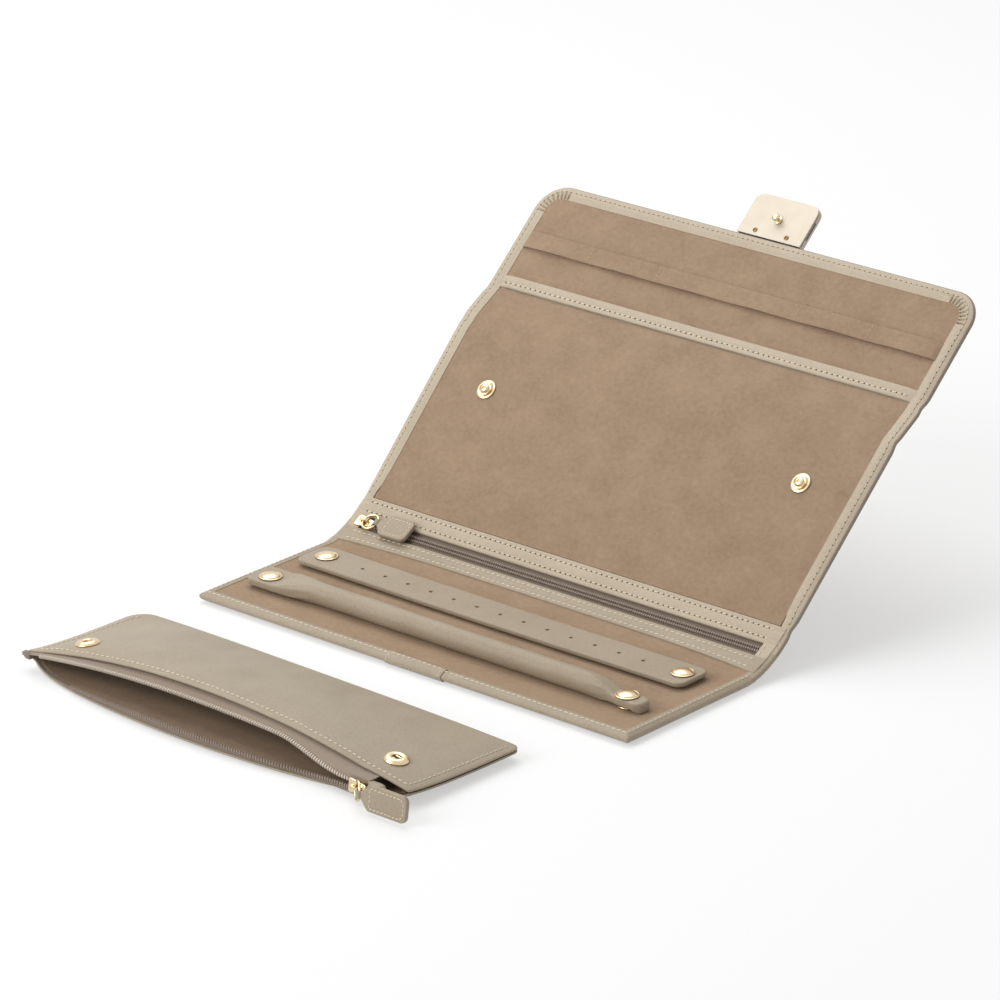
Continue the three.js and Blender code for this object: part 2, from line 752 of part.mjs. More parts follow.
// Back panel, with the studs that the pouch snaps onto
const back = groupAt(spine, 0, spineChord, 0, backAngle);
back.name = 'back_fold';
const backSize = {
  startHalf: frontWidth / 2,
  endHalf: backWidth / 2,
  from: foldGap / 2,
  to: backDepth - reverseFoldGap / 2,
  startCorner: 0,
  endCorner: 0,
};
const backWindow = { start: -overcut, end: -overcut };
add(back, 'back_leather', leatherShell(backSize, backSkin, backThickness, backWindow), leather);
add(back, 'back_board', boardIn(backSize, backSkin, backThickness, backBoardThickness), card);
add(back, 'back_lining', liningIn(backSize, backWindow), suede);

function pouchStud(x) {
  const foot = liningTop + layerGap;
  const top = foot + pouchStudHeight;
  return turned([
    [0, foot], [pouchStudRadius, foot], [pouchStudRadius, foot + pouchStudRim],
    [pouchStudNeck, foot + pouchStudRim], [pouchStudBall, top - pouchStudRim], [pouchStudCrown, top], [0, top],
  ], x, pouchStudPlace);
}

add(back, 'pouch_stud_left', pouchStud(-pouchStudSpan / 2), gold);
add(back, 'pouch_stud_right', pouchStud(pouchStudSpan / 2), gold);

// Upper spine: leather and lining with no board, so that it bends over the roll's front
const upperSpine = groupAt(back, 0, backDepth, 0, upperSpineAngle);
upperSpine.name = 'upper_fold';
const upperSpineSize = {
  startHalf: backWidth / 2,
  endHalf: backWidth / 2,
  from: reverseFoldGap / 2,
  to: upperSpineDepth - foldGap / 2,
  startCorner: 0,
  endCorner: 0,
};
const spineWindow = slab(
  panelOutline(upperSpineSize, borderWidth, -overcut, -overcut), liningBottom - layerGap, overcut);
add(upperSpine, 'upper_spine_leather', cut(
  softSlab(panelOutline(upperSpineSize, 0, 0, 0), -upperSpineThickness, 0, edgeRound), spineWindow), leather);
add(upperSpine, 'upper_spine_lining',
  liningIn(upperSpineSize, { start: -overcut, end: -overcut }), suede);

// Flap: necklace band and pocket binding inside, clasp on its outer edge
const flap = groupAt(upperSpine, 0, upperSpineDepth, 0, flapAngle);
flap.name = 'flap_fold';
const flapSize = {
  startHalf: backWidth / 2,
  endHalf: backWidth / 2,
  from: foldGap / 2,
  to: flapDepth,
  startCorner: 0,
  endCorner: flapCorner,
};
const flapWindow = { start: -overcut, end: borderWidth };
add(flap, 'flap_leather', leatherShell(flapSize, backSkin, backThickness, flapWindow), leather);
add(flap, 'flap_board', boardIn(flapSize, backSkin, backThickness, backBoardThickness), card);
add(flap, 'flap_lining', liningIn(flapSize, flapWindow), suede);

const bandHalf = backWidth / 2 - borderWidth - layerGap;
const bandFoot = liningTop + layerGap;
add(flap, 'pocket_binding', slab(
  rectangle(-bandHalf, flapSize.from + bindingPlace, bandHalf, flapSize.from + bindingPlace + bindingWidth),
  bandFoot, bandFoot + bindingThickness), leather);

// The band is sewn down between its loops, and each loop stands off the lining
function necklaceBand() {
  const pitch = (2 * bandHalf) / necklaceLoops;
  const top = [];
  for (let loopIndex = 0; loopIndex < necklaceLoops; loopIndex += 1) {
    for (let step = 0; step <= loopSteps; step += 1) {
      const x = -bandHalf + loopIndex * pitch + necklaceStitchFlat / 2
        + ((pitch - necklaceStitchFlat) * step) / loopSteps;
      top.push(new THREE.Vector2(x, bandFoot + necklaceLoopRise * Math.sin((Math.PI * step) / loopSteps)));
    }
  }
  top[0].x = -bandHalf;
  top[top.length - 1].x = bandHalf;
  const above = top.map((point) => new THREE.Vector2(point.x, point.y + necklaceBandThickness));
  const section = new THREE.Shape([...top, ...above.reverse()]);
  return alongY(section, necklaceBandPlace, necklaceBandPlace + necklaceBandWidth);
}

add(flap, 'necklace_band', necklaceBand(), suede);

// Clasp: an outer plate under the flap's edge, and an inner plate that carries the stud
const claspFace = -claspFaceDrop;
const claspInnerBottom = claspFace - claspPlate;
const claspOuterTop = Math.min(claspInnerBottom - claspCavity, -backThickness - layerGap);
const claspStart = flapDepth + claspSetOff;
const claspEnd = flapDepth + claspReach;
const claspLeft = claspOffset - claspWidth / 2;
const claspRight = claspOffset + claspWidth / 2;
const claspScrewY = flapDepth + claspScrewPlace;

function claspOutline(from, inset = 0) {
  const left = claspLeft + inset;
  const right = claspRight - inset;
  const end = claspEnd - inset;
  const corner = claspCorner - inset;
  return roundedOutline([[left, from, 0], [right, from, 0], [right, end, corner], [left, end, corner]]);
}

function claspOuterPlate() {
  const plate = softSlab(claspOutline(flapDepth - claspOverlap), claspOuterTop - claspPlate, claspOuterTop,
    claspEdge);
  const rim = slab(claspOutline(claspStart), claspOuterTop - claspPlate / 2, claspInnerBottom - layerGap);
  const room = slab(claspOutline(claspStart - overcut, claspPlate), claspOuterTop, overcut);
  const slotFrom = flapDepth + claspSlotFrom;
  const slotFoot = (claspOuterTop + claspInnerBottom - claspSlotHeight) / 2;
  const slot = slab(rectangle(claspLeft - overcut, slotFrom, claspRight + overcut, slotFrom + claspSlotLength),
    slotFoot, slotFoot + claspSlotHeight);
  const posts = [-1, 1].map((side) => round(claspScrewRadius + claspPlate, claspOuterTop - claspPlate / 2,
    claspInnerBottom - layerGap, claspOffset + (side * claspScrewSpan) / 2, claspScrewY));
  const holes = [-1, 1].map((side) => round(claspScrewShank + claspScrewClearance, claspOuterTop, overcut,
    claspOffset + (side * claspScrewSpan) / 2, claspScrewY));
  const seat = round(claspStudHead + claspScrewClearance + claspPlate, claspOuterTop - claspPlate / 2,
    claspInnerBottom - layerGap, claspOffset, claspStudDepth);
  const bore = round(claspStudNeck + claspScrewClearance, claspOuterTop, overcut, claspOffset, claspStudDepth);
  return cut(join(plate, cut(rim, room, slot), ...posts, seat), ...holes, bore);
}

function claspInnerPlate() {
  const plate = softSlab(claspOutline(claspStart), claspInnerBottom, claspFace, claspEdge);
  const holes = [-1, 1].map((side) => round(claspScrewShank + claspScrewClearance,
    claspInnerBottom - overcut, overcut, claspOffset + (side * claspScrewSpan) / 2, claspScrewY));
  const bore = round(claspStudNeck + claspScrewClearance, claspInnerBottom - overcut, overcut,
    claspOffset, claspStudDepth);
  return cut(plate, ...holes, bore);
}

function claspScrew(side) {
  const under = claspFace + layerGap;
  const tip = claspOuterTop + layerGap;
  return turned([
    [0, tip], [claspScrewShank, tip], [claspScrewShank, under], [claspScrewRadius, under],
    [claspScrewCrown, under + claspScrewHead], [0, under + claspScrewHead],
  ], claspOffset + (side * claspScrewSpan) / 2, claspScrewY);
}

function claspStud() {
  const foot = claspOuterTop + layerGap;
  const collar = claspFace + layerGap;
  const top = claspFace + claspStudHeight;
  const headFoot = top - claspStudHeadHeight;
  return turned([
    [0, foot], [claspStudNeck, foot], [claspStudNeck, collar], [claspStudHead, collar],
    [claspStudHead, collar + claspStudCollar], [claspStudNeck, collar + claspStudCollar],
    [claspStudNeck, headFoot], [claspStudHead, headFoot + claspStudHeadHeight / 2],
    [claspStudCrown, top], [0, top],
  ], claspOffset, claspStudDepth);
}

add(flap, 'clasp_outer_plate', claspOuterPlate(), gold);
add(flap, 'clasp_inner_plate', claspInnerPlate(), gold);
add(flap, 'clasp_screw_left', claspScrew(-1), gold);
add(flap, 'clasp_screw_right', claspScrew(1), gold);
add(flap, 'clasp_stud', claspStud(), gold);

// Pouch: each wall is a sheet over the same plan, from the back fold (v = 0) to its lip (v = 1)
const pouch = groupAt(roll, pouchX, pouchY, 0);
pouch.rotation.z = rad(pouchTurn);
pouch.name = 'pouch_slide';
const pouchHalf = pouchLength / 2;
const pouchBackY = pouchDepth / 2;
const pouchFrontY = -pouchDepth / 2;
const pouchSeamHeight = pouchSeamRise + 2 * pouchSkin + layerGap;

function mouth(x) {
  return Math.max(0, 1 - ((x - mouthMiddle) / mouthHalf) ** 2);
}

function upperLip(x) {
  return pouchFrontY + upperLipSetback * mouth(x);
}

function lowerLip(x) {
  return pouchFrontY - lowerLipReach * mouth(x);
}

function cornerLift(x, v) {
  return pouchSeamLift * (1 - mouth(x)) ** 2 * v ** pouchCornerPower;
}

function upperFace(x, v) {
  const crown = (1 - Math.abs(x / pouchHalf) ** pouchEndPower)
    * Math.sin(Math.PI * (pouchCrownFrom + pouchCrownSpan * v));
  return pouchSeamHeight + pouchFullness * crown + upperLipRise * mouth(x) * v * v + cornerLift(x, v);
}

function lowerFace(x, v) {
  const flat = (1 - Math.abs(x / pouchHalf) ** pouchFloorPower) * (1 - (1 - v) ** pouchFoldPower);
  return pouchSeamRise * (1 - flat) + cornerLift(x, v) * Math.abs(x / pouchHalf) ** 2;
}

// Rows of [x, v] points are closed into a sheet between two heights
function sheet(halfLength, columns, rows, lip, start, setback, bottomOf, topOf) {
  const rings = [];
  for (let c = 0; c <= columns; c += 1) {
    const x = -halfLength + (2 * halfLength * c) / columns;
    const reach = pouchBackY - lip(x);
    const lowerRow = [];
    const upperRow = [];
    for (let r = 0; r <= rows; r += 1) {
      const v = lerp(start, 1 - setback / reach, r / rows);
      const y = pouchBackY - v * reach;
      lowerRow.push(new THREE.Vector3(x, y, bottomOf(x, v)));
      upperRow.push(new THREE.Vector3(x, y, topOf(x, v)));
    }
    rings.push([...upperRow, ...lowerRow.reverse()]);
  }
  return loft(rings);
}

const liningStart = pouchLiningMargin / pouchDepth;
const liningHalf = pouchHalf - pouchLiningMargin;
const upperStack = pouchSkin + layerGap;
add(pouch, 'pouch_upper_leather', sheet(pouchHalf, wallColumns, wallRows, upperLip, 0, 0,
  (x, v) => upperFace(x, v) - pouchSkin, upperFace), leather);
add(pouch, 'pouch_lower_leather', sheet(pouchHalf, wallColumns, wallRows, lowerLip, 0, 0,
  lowerFace, (x, v) => lowerFace(x, v) + pouchSkin), leather);
add(pouch, 'pouch_upper_lining', sheet(liningHalf, liningColumns, liningRows, upperLip,
  liningStart, pouchLiningSetback,
  (x, v) => upperFace(x, v) - upperStack - pouchLiningThickness,
  (x, v) => upperFace(x, v) - upperStack), suede);
add(pouch, 'pouch_lower_lining', sheet(liningHalf, liningColumns, liningRows, lowerLip,
  liningStart, pouchLiningSetback,
  (x, v) => lowerFace(x, v) + upperStack,
  (x, v) => lowerFace(x, v) + upperStack + pouchLiningThickness), suede);

// The pouch zip is drawn together at the slider, and its tapes follow the lips elsewhere
const zipLean = rad(pouchZipLean);
const zipUp = new THREE.Vector3(0, Math.sin(zipLean), Math.cos(zipLean));
const zipCentre = new THREE.Vector3(pouchSliderX, pouchFrontY - pouchSliderAhead, pouchSliderHeight);
const zipTapeEdge = coilGap / 2 + 2 * pouchCoil + layerGap;
const tapeFrom = mouthMiddle - mouthHalf;
const tapeTo = pouchSliderX + sliderLength / 2 + layerGap;

function tapePoints(x, side) {
  const sliderEnd = pouchSliderX - sliderLength / 2;
  const closing = smoothstep(x, sliderEnd - pouchTapeTurn, sliderEnd);
  const lip = side > 0 ? upperLip(x) : lowerLip(x);
  const tucked = 1 - lipTapeTuck / (pouchBackY - lip);
  const under = (v) => upperFace(x, v) - pouchSkin - lipTapeSeat;
  const over = (v) => lowerFace(x, v) + pouchSkin + lipTapeSeat;
  const height = side > 0 ? under : over;
  const drop = side > 0 ? lipTapeDrop * mouth(x) : 0;
  const root = new THREE.Vector3(x, lip + lipTapeTuck, height(tucked));
  const tip = new THREE.Vector3(x, lip - lipTapeReach, height(1) - drop);
  const zipRoot = zipCentre.clone().addScaledVector(zipUp, side * pouchTapeHalf).setX(x);
  const zipTip = zipCentre.clone().addScaledVector(zipUp, side * zipTapeEdge).setX(x);
  return { root: root.lerp(zipRoot, closing), tip: tip.lerp(zipTip, closing) };
}

function pouchTape(side) {
  const rings = [];
  for (let i = 0; i <= tapeSteps; i += 1) {
    const { root, tip } = tapePoints(lerp(tapeFrom, tapeTo, i / tapeSteps), side);
    const across = tip.clone().sub(root).normalize();
    const inward = new THREE.Vector3(0, -across.z, across.y).multiplyScalar(side * tapeThickness);
    const ring = [root, tip, tip.clone().add(inward), root.clone().add(inward)];
    rings.push(side > 0 ? ring : ring.reverse());
  }
  return loft(rings);
}

function pouchCoilBead(side) {
  const rings = [];
  const begin = tapeFrom + pouchCoilStart;
  const stop = pouchSliderX - sliderLength / 2 - layerGap;
  for (let i = 0; i <= tapeSteps; i += 1) {
    const { root, tip } = tapePoints(lerp(begin, stop, i / tapeSteps), side);
    const across = tip.clone().sub(root).normalize();
    const middle = tip.clone().addScaledVector(across, pouchCoil + layerGap);
    const ring = [];
    for (let k = 0; k < beadSides; k += 1) {
      const angle = (k / beadSides) * 2 * Math.PI;
      ring.push(middle.clone().add(
        new THREE.Vector3(0, Math.cos(angle), Math.sin(angle)).multiplyScalar(pouchCoil)));
    }
    rings.push(ring);
  }
  return loft(rings);
}

add(pouch, 'pouch_tape_upper', pouchTape(1), tape);
add(pouch, 'pouch_tape_lower', pouchTape(-1), tape);
add(pouch, 'pouch_coil_upper', pouchCoilBead(1), nylon);
add(pouch, 'pouch_coil_lower', pouchCoilBead(-1), nylon);

const pouchZip = groupAt(pouch, zipCentre.x, zipCentre.y, zipCentre.z, upright - pouchZipLean);
zipPull(pouchZip, { slider: 'pouch_zip_slider', ring: 'pouch_zip_ring', pull: 'pouch_pull_tab' },
  pouchRingTurn, pouchPullTurn);
const endTabFrom = sliderLength / 2 + 2 * layerGap;
add(pouchZip, 'pouch_zip_end_tab', softSlab(
  rectangle(endTabFrom, -endTabWidth / 2, endTabFrom + endTabLength, endTabWidth / 2, endTabCorner),
  -endTabThickness / 2, endTabThickness / 2, edgeRound), leather);

// Snap sockets on the pouch's upper wall, square to it
function snapSocket() {
  return turned([
    [0, 0], [socketRadius, 0], [socketRadius, socketRim], [socketCrown, socketHeight],
    [socketBore, socketHeight], [socketBore, socketFloor], [0, socketFloor],
  ]);
}

for (const [side, name] of [[-1, 'pouch_socket_left'], [1, 'pouch_socket_right']]) {
  const x = (side * pouchStudSpan) / 2;
  const y = pouchFrontY + socketPlace;
  const reach = pouchBackY - upperLip(x);
  const v = (pouchBackY - y) / reach;
  const step = 0.5;
  const slopeX = (upperFace(x + step, v) - upperFace(x - step, v)) / (2 * step);
  const slopeY = (upperFace(x, v - step / reach) - upperFace(x, v + step / reach)) / (2 * step);
  const normal = new THREE.Vector3(-slopeX, -slopeY, 1).normalize();
  const seat = groupAt(pouch, x, y, upperFace(x, v));
  seat.quaternion.setFromUnitVectors(new THREE.Vector3(0, 0, 1), normal);
  add(seat, name, snapSocket(), gold).position.z = socketSeat;
}

export default roll;
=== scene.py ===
import bpy
import bmesh
import json
import math
from mathutils import Matrix, Vector, noise


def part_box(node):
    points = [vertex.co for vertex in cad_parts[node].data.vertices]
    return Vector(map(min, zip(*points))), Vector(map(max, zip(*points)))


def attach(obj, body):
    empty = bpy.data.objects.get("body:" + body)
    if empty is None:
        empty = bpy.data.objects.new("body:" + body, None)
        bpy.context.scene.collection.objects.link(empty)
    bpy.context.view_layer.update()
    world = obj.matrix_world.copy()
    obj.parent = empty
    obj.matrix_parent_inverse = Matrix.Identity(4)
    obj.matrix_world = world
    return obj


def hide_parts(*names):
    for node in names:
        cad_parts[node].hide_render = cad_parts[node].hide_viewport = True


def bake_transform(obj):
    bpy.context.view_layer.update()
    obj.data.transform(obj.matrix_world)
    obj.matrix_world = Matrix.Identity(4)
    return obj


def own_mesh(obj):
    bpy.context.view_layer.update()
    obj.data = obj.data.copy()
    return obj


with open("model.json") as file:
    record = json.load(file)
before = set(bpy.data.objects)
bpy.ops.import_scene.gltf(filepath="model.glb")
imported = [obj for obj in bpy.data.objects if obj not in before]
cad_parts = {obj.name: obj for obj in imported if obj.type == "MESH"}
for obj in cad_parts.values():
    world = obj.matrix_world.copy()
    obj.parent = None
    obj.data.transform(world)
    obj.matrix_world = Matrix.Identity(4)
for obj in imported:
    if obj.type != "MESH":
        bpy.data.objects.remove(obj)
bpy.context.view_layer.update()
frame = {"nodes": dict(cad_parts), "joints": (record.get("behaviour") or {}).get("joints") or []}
mm = 0.001
joints = {joint["name"]: joint for joint in frame["joints"]}
print("frame loaded:", len(frame["nodes"]), "nodes")


# camera, as solved from the vanishing lines
shot = {"azimuth": 40.83, "elevation": 21.15, "distance": 2476.75, "right": 11.255, "up": 58.95, "lens": 216,
        "sensor": 36, "clipEnd": 50}


def columns(first, second, third):
    return Matrix((first, second, third)).transposed().to_4x4()


def makeCamera():
    turn = math.radians(shot["azimuth"])
    lift = math.radians(shot["elevation"])
    back = Vector((math.sin(turn) * math.cos(lift), -math.cos(turn) * math.cos(lift), math.sin(lift)))
    right = Vector((math.cos(turn), math.sin(turn), 0))
    up = back.cross(right)
    camera = bpy.data.objects.new("camera", bpy.data.cameras.new("camera"))
    camera.data.lens = shot["lens"]
    camera.data.sensor_width = shot["sensor"]
    camera.data.clip_end = shot["clipEnd"]
    place = back * shot["distance"] + right * shot["right"] + up * shot["up"]
    camera.matrix_world = Matrix.Translation(place * mm) @ columns(right, up, back)
    bpy.context.collection.objects.link(camera)
    bpy.context.scene.camera = camera


makeCamera()
bpy.context.scene.view_settings.view_transform = "Standard"


# shader maths: a socket that takes part in Python expressions
class Wire:
    def __init__(self, tree, socket=None):
        self.tree = tree
        self.socket = socket

    def node(self, kind, settings, sockets, out=0):
        made = self.tree.nodes.new(kind)
        for key, value in settings.items():
            setattr(made, key, value)
        for key, value in sockets.items():
            if isinstance(value, Wire):
                self.tree.links.new(value.socket, made.inputs[key])
            else:
                made.inputs[key].default_value = value
        return Wire(self.tree, made.outputs[out])

    def maths(self, operation, first, second):
        return self.node("ShaderNodeMath", {"operation": operation}, {0: first, 1: second})

    def __add__(self, other):
        return self.maths("ADD", self, other)

    __radd__ = __add__

    def __mul__(self, other):
        return self.maths("MULTIPLY", self, other)

    __rmul__ = __mul__

    def __sub__(self, other):
        return self.maths("SUBTRACT", self, other)

    def __rsub__(self, other):
        return self.maths("SUBTRACT", other, self)


def rgb(red, green, blue):
    parts = [part / 255 for part in (red, green, blue)]
    linear = [part / 12.92 if part <= 0.04045 else ((part + 0.055) / 1.055) ** 2.4 for part in parts]
    return (*linear, 1)


# every finish starts from the object's own coordinates and ends in colour, roughness and relief
def startFinish(name, fixed):
    material = bpy.data.materials.new(name)
    material.use_nodes = True
    shader = material.node_tree.nodes["Principled BSDF"]
    for key, value in fixed.items():
        shader.inputs[key].default_value = value
    wire = Wire(material.node_tree)
    return material, wire, shader, wire.node("ShaderNodeTexCoord", {}, {}, "Object")


def endFinish(wire, shader, colour, roughness, relief):
    for key, value in (("Base Color", colour), ("Roughness", roughness), ("Normal", relief)):
        wire.tree.links.new(value.socket, shader.inputs[key])


def grainNoise(wire, spot, scale, detail):
    return wire.node("ShaderNodeTexNoise", {}, {"Vector": spot, "Scale": scale, "Detail": detail}, "Fac")


def mixColour(wire, share, first, second):
    return wire.node("ShaderNodeMix", {"data_type": "RGBA"}, {0: share, 6: first, 7: second}, 2)


def bumpRelief(wire, look, height, invert=False):
    return wire.node("ShaderNodeBump", {"invert": invert},
                     {"Strength": look["relief"], "Distance": look["depth"], "Height": height}, "Normal")


# leather: pebble grain, a soft pearly sheen and cloudy tone
leatherLook = {"pebble": 1150, "smoothness": 0.55, "fine": 3200, "cloud": 38, "relief": 0.34, "depth": 0.00016,
               "pebbleRise": 0.8, "fineRise": 0.35, "cloudTone": 0.75, "pebbleTone": 0.55, "toneBase": 0.18,
               "roughness": 0.38, "roughVary": 0.2, "specular": 0.26, "sheen": 0.05, "sheenRough": 0.4}


def leatherFinish(name, pale, deep):
    look = leatherLook
    material, wire, shader, spot = startFinish(name, {
        "Specular IOR Level": look["specular"], "Sheen Weight": look["sheen"], "Sheen Roughness": look["sheenRough"]})
    pebble = wire.node("ShaderNodeTexVoronoi", {"feature": "SMOOTH_F1"},
                       {"Vector": spot, "Scale": look["pebble"], "Smoothness": look["smoothness"]}, "Distance")
    fine = grainNoise(wire, spot, look["fine"], 2)
    cloud = grainNoise(wire, spot, look["cloud"], 4)
    height = pebble * look["pebbleRise"] + fine * look["fineRise"]
    share = cloud * look["cloudTone"] + pebble * look["pebbleTone"] - look["toneBase"]
    endFinish(wire, shader, mixColour(wire, share, pale, deep), look["roughness"] + fine * look["roughVary"],
              bumpRelief(wire, look, height, True))
    return material


# suede: brushed nap in two directions over a fine fibre
suedeLook = {"fibre": 2300, "nap": 420, "brush": 60, "turn": 0.6, "stretch": (1, 1.3, 1.15), "relief": 0.5,
             "depth": 0.00025, "napRise": 0.5, "brushTone": 0.75, "napTone": 0.75, "fibreTone": 0.7, "toneBase": 0.6,
             "roughness": 0.86, "roughVary": 0.12, "specular": 0.18, "sheen": 0.35, "sheenRough": 0.6,
             "sheenTint": (214, 190, 160)}


def suedeFinish(name, pale, deep):
    look = suedeLook
    material, wire, shader, spot = startFinish(name, {
        "Specular IOR Level": look["specular"], "Sheen Weight": look["sheen"], "Sheen Roughness": look["sheenRough"],
        "Sheen Tint": rgb(*look["sheenTint"])})
    turned = wire.node("ShaderNodeMapping", {},
                       {"Vector": spot, "Rotation": (0, 0, look["turn"]), "Scale": look["stretch"]})
    fibre = grainNoise(wire, spot, look["fibre"], 3)
    nap = grainNoise(wire, turned, look["nap"], 5)
    brush = grainNoise(wire, turned, look["brush"], 3)
    share = brush * look["brushTone"] + nap * look["napTone"] + fibre * look["fibreTone"] - look["toneBase"]
    endFinish(wire, shader, mixColour(wire, share, pale, deep), look["roughness"] + fibre * look["roughVary"],
              bumpRelief(wire, look, fibre + nap * look["napRise"]))
    return material


# pale gold, polished on the fasteners and satin on the clasp
goldLook = {"streak": 900, "wear": 160, "wearTone": 0.7, "streakTone": 0.3, "relief": 0.06, "depth": 0.00005,
            "polish": 0.04, "streakRough": 0.05, "wearRough": 0.06}


def goldFinish(name, pale, deep, roughness, brushed):
    look = goldLook
    material, wire, shader, spot = startFinish(name, {"Metallic": 1.0})
    stretched = wire.node("ShaderNodeMapping", {}, {"Vector": spot, "Scale": brushed})
    streak = grainNoise(wire, stretched, look["streak"], 3)
    wear = grainNoise(wire, spot, look["wear"], 4)
    share = wear * look["wearTone"] + streak * look["streakTone"]
    rough = roughness - look["polish"] + streak * look["streakRough"] + wear * look["wearRough"]
    endFinish(wire, shader, mixColour(wire, share, pale, deep), rough, bumpRelief(wire, look, streak))
    return material


# zip tape: a twill weave, with ribs along and across it
tapeLook = {"twill": 0.9, "rib": 520, "ribWander": 0.6, "warp": 420, "warpWander": 0.3, "fibre": 1900, "ribTone": 0.35,
            "warpTone": 0.25, "fibreTone": 0.4, "relief": 0.5, "depth": 0.0002, "warpRise": 0.7, "roughness": 0.74,
            "roughVary": 0.18, "specular": 0.25, "sheen": 0.2}


def tapeFinish(name, pale, deep):
    look = tapeLook
    material, wire, shader, spot = startFinish(name, {"Specular IOR Level": look["specular"],
                                                      "Sheen Weight": look["sheen"]})
    twill = wire.node("ShaderNodeMapping", {}, {"Vector": spot, "Rotation": (0, 0, look["twill"])})
    rib = wire.node("ShaderNodeTexWave", {"bands_direction": "X"},
                    {"Vector": twill, "Scale": look["rib"], "Distortion": look["ribWander"]})
    warp = wire.node("ShaderNodeTexWave", {"bands_direction": "X"},
                     {"Vector": spot, "Scale": look["warp"], "Distortion": look["warpWander"]})
    fibre = grainNoise(wire, spot, look["fibre"], 3)
    share = rib * look["ribTone"] + warp * look["warpTone"] + fibre * look["fibreTone"]
    endFinish(wire, shader, mixColour(wire, share, deep, pale), look["roughness"] + fibre * look["roughVary"],
              bumpRelief(wire, look, rib + warp * look["warpRise"]))
    return material


# nylon, thread, needle holes and board share a fine twist with their own colours; the needle holes' dark is painted
# shade and the upper pouch coil's paler copy is painted light
strandLook = {"patch": 70, "twistTone": 0.6, "patchTone": 0.5, "toneBase": 0.05, "relief": 0.3, "depth": 0.0001,
              "roughVary": 0.1, "specular": 0.4}


def strandFinish(name, pale, deep, roughness, scale):
    look = strandLook
    material, wire, shader, spot = startFinish(name, {"Specular IOR Level": look["specular"]})
    twist = grainNoise(wire, spot, scale, 2)
    patch = grainNoise(wire, spot, look["patch"], 2)
    share = twist * look["twistTone"] + patch * look["patchTone"] - look["toneBase"]
    endFinish(wire, shader, mixColour(wire, share, pale, deep), roughness + twist * look["roughVary"],
              bumpRelief(wire, look, twist))
    return material


# taupe leather is the skin's own colour; the paler and darker copies after it are painted light and painted shade
leather = leatherFinish("taupe_leather", rgb(172, 158, 138), rgb(146, 133, 112))
# a paler copy of the same leather: painted sheen for faces turned to the light on the spine, back and flap, the upper
# band, the pocket binding and the zip patches
sheenPaintedLeather = leatherFinish("leather_painted_sheen", rgb(191, 177, 156), rgb(167, 153, 132))
# a darker copy of the same leather: painted shade on the rolled rim behind the front panel
rimShadePaintedLeather = leatherFinish("leather_painted_rim_shade", rgb(156, 145, 131), rgb(130, 119, 105))
suede = suedeFinish("brown_suede", rgb(167, 143, 119), rgb(132, 109, 89))
# a darker copy of the brown suede: painted shade for the inside of the pouch
shadePaintedPouchSuede = suedeFinish("pouch_suede_painted_shade", rgb(138, 117, 98), rgb(107, 87, 71))
brightGold = goldFinish("bright_gold", rgb(226, 207, 172), rgb(210, 187, 149), 0.24, (1, 1, 1))
satinGold = goldFinish("satin_gold", rgb(187, 179, 166), rgb(179, 170, 156), 0.58, (1, 6, 6))
agedGold = goldFinish("aged_gold", rgb(150, 120, 72), rgb(112, 86, 50), 0.35, (1, 1, 1))
zipTape = tapeFinish("zip_tape", rgb(146, 131, 116), rgb(100, 87, 76))
# a paler copy of the zip tape: painted light on the pouch's upper tape, which faces out of the mouth
pouchTape = tapeFinish("pouch_tape", rgb(168, 151, 134), rgb(128, 113, 99))
# a paler copy of the coil nylon: painted light on the upper pouch coil, which faces down into shade
lightPaintedPouchCoil = strandFinish("pouch_coil", rgb(214, 202, 188), rgb(184, 170, 156), 0.34, 1400)
coilNylon = strandFinish("coil_nylon", rgb(170, 153, 139), rgb(128, 112, 100), 0.34, 1400)
thread = strandFinish("cream_thread", rgb(226, 216, 196), rgb(204, 192, 168), 0.6, 2400)
tonalThread = strandFinish("tonal_thread", rgb(204, 192, 171), rgb(180, 167, 146), 0.6, 2400)
suedeThread = strandFinish("suede_thread", rgb(196, 174, 147), rgb(168, 146, 121), 0.7, 2400)
# dark flat discs for the needle holes: painted shade
needleHoleShade = strandFinish("needle_hole_painted_shade", rgb(92, 78, 62), rgb(66, 55, 44), 0.9, 2400)
board = strandFinish("grey_board", rgb(150, 142, 128), rgb(128, 120, 108), 0.9, 600)


# the CAD solids that stay in sight
def coat(names, finish):
    for name in names:
        frame["nodes"][name].data.materials.clear()
        frame["nodes"][name].data.materials.append(finish)


coat(("front_board", "back_board", "flap_board"), board)
coat(("clasp_outer_plate", "clasp_inner_plate"), satinGold)
coat(("zip_slider", "pouch_zip_slider", "catch_socket"), brightGold)
print("finishes made")


# the roll's section: the inside face from the front edge to the flap's edge, in y and z
rollStrip = {"half": 119, "frontHalf": 117.25, "border": 5, "wideBorder": 6.8, "widenOver": 10, "lowerBand": 10,
             "zipWindow": 6.6, "bandDip": 8, "flapDepth": 56, "flapTilt": 42, "bends": (5, 2.4, 2.4, 3, 6, 4),
             "flapCorner": 14, "frontCorner": 1.2, "edge": 1, "foldSpan": 6}


def foldAt(name):
    return Vector(joints[name]["pos_m"][1:]) / mm


def heading(angle):
    return Vector((math.cos(angle), math.sin(angle)))


def rollSection():
    lower, upper = foldAt("lower_fold"), foldAt("back_fold")
    chord = upper - lower
    slope = math.atan2(chord.y, chord.x)
    lowEdge = lower + rollStrip["lowerBand"] * heading(slope - math.radians(rollStrip["bandDip"]))
    highEdge = lowEdge + rollStrip["zipWindow"] * heading(slope)
    flapRoot = foldAt("flap_fold")
    flapEnd = flapRoot + rollStrip["flapDepth"] * heading(math.radians(rollStrip["flapTilt"]))
    frontEdge = Vector((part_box("front_leather")[0].y / mm, lower.y))
    return [frontEdge, lower, lowEdge, highEdge, upper, foldAt("upper_fold"), flapRoot, flapEnd]


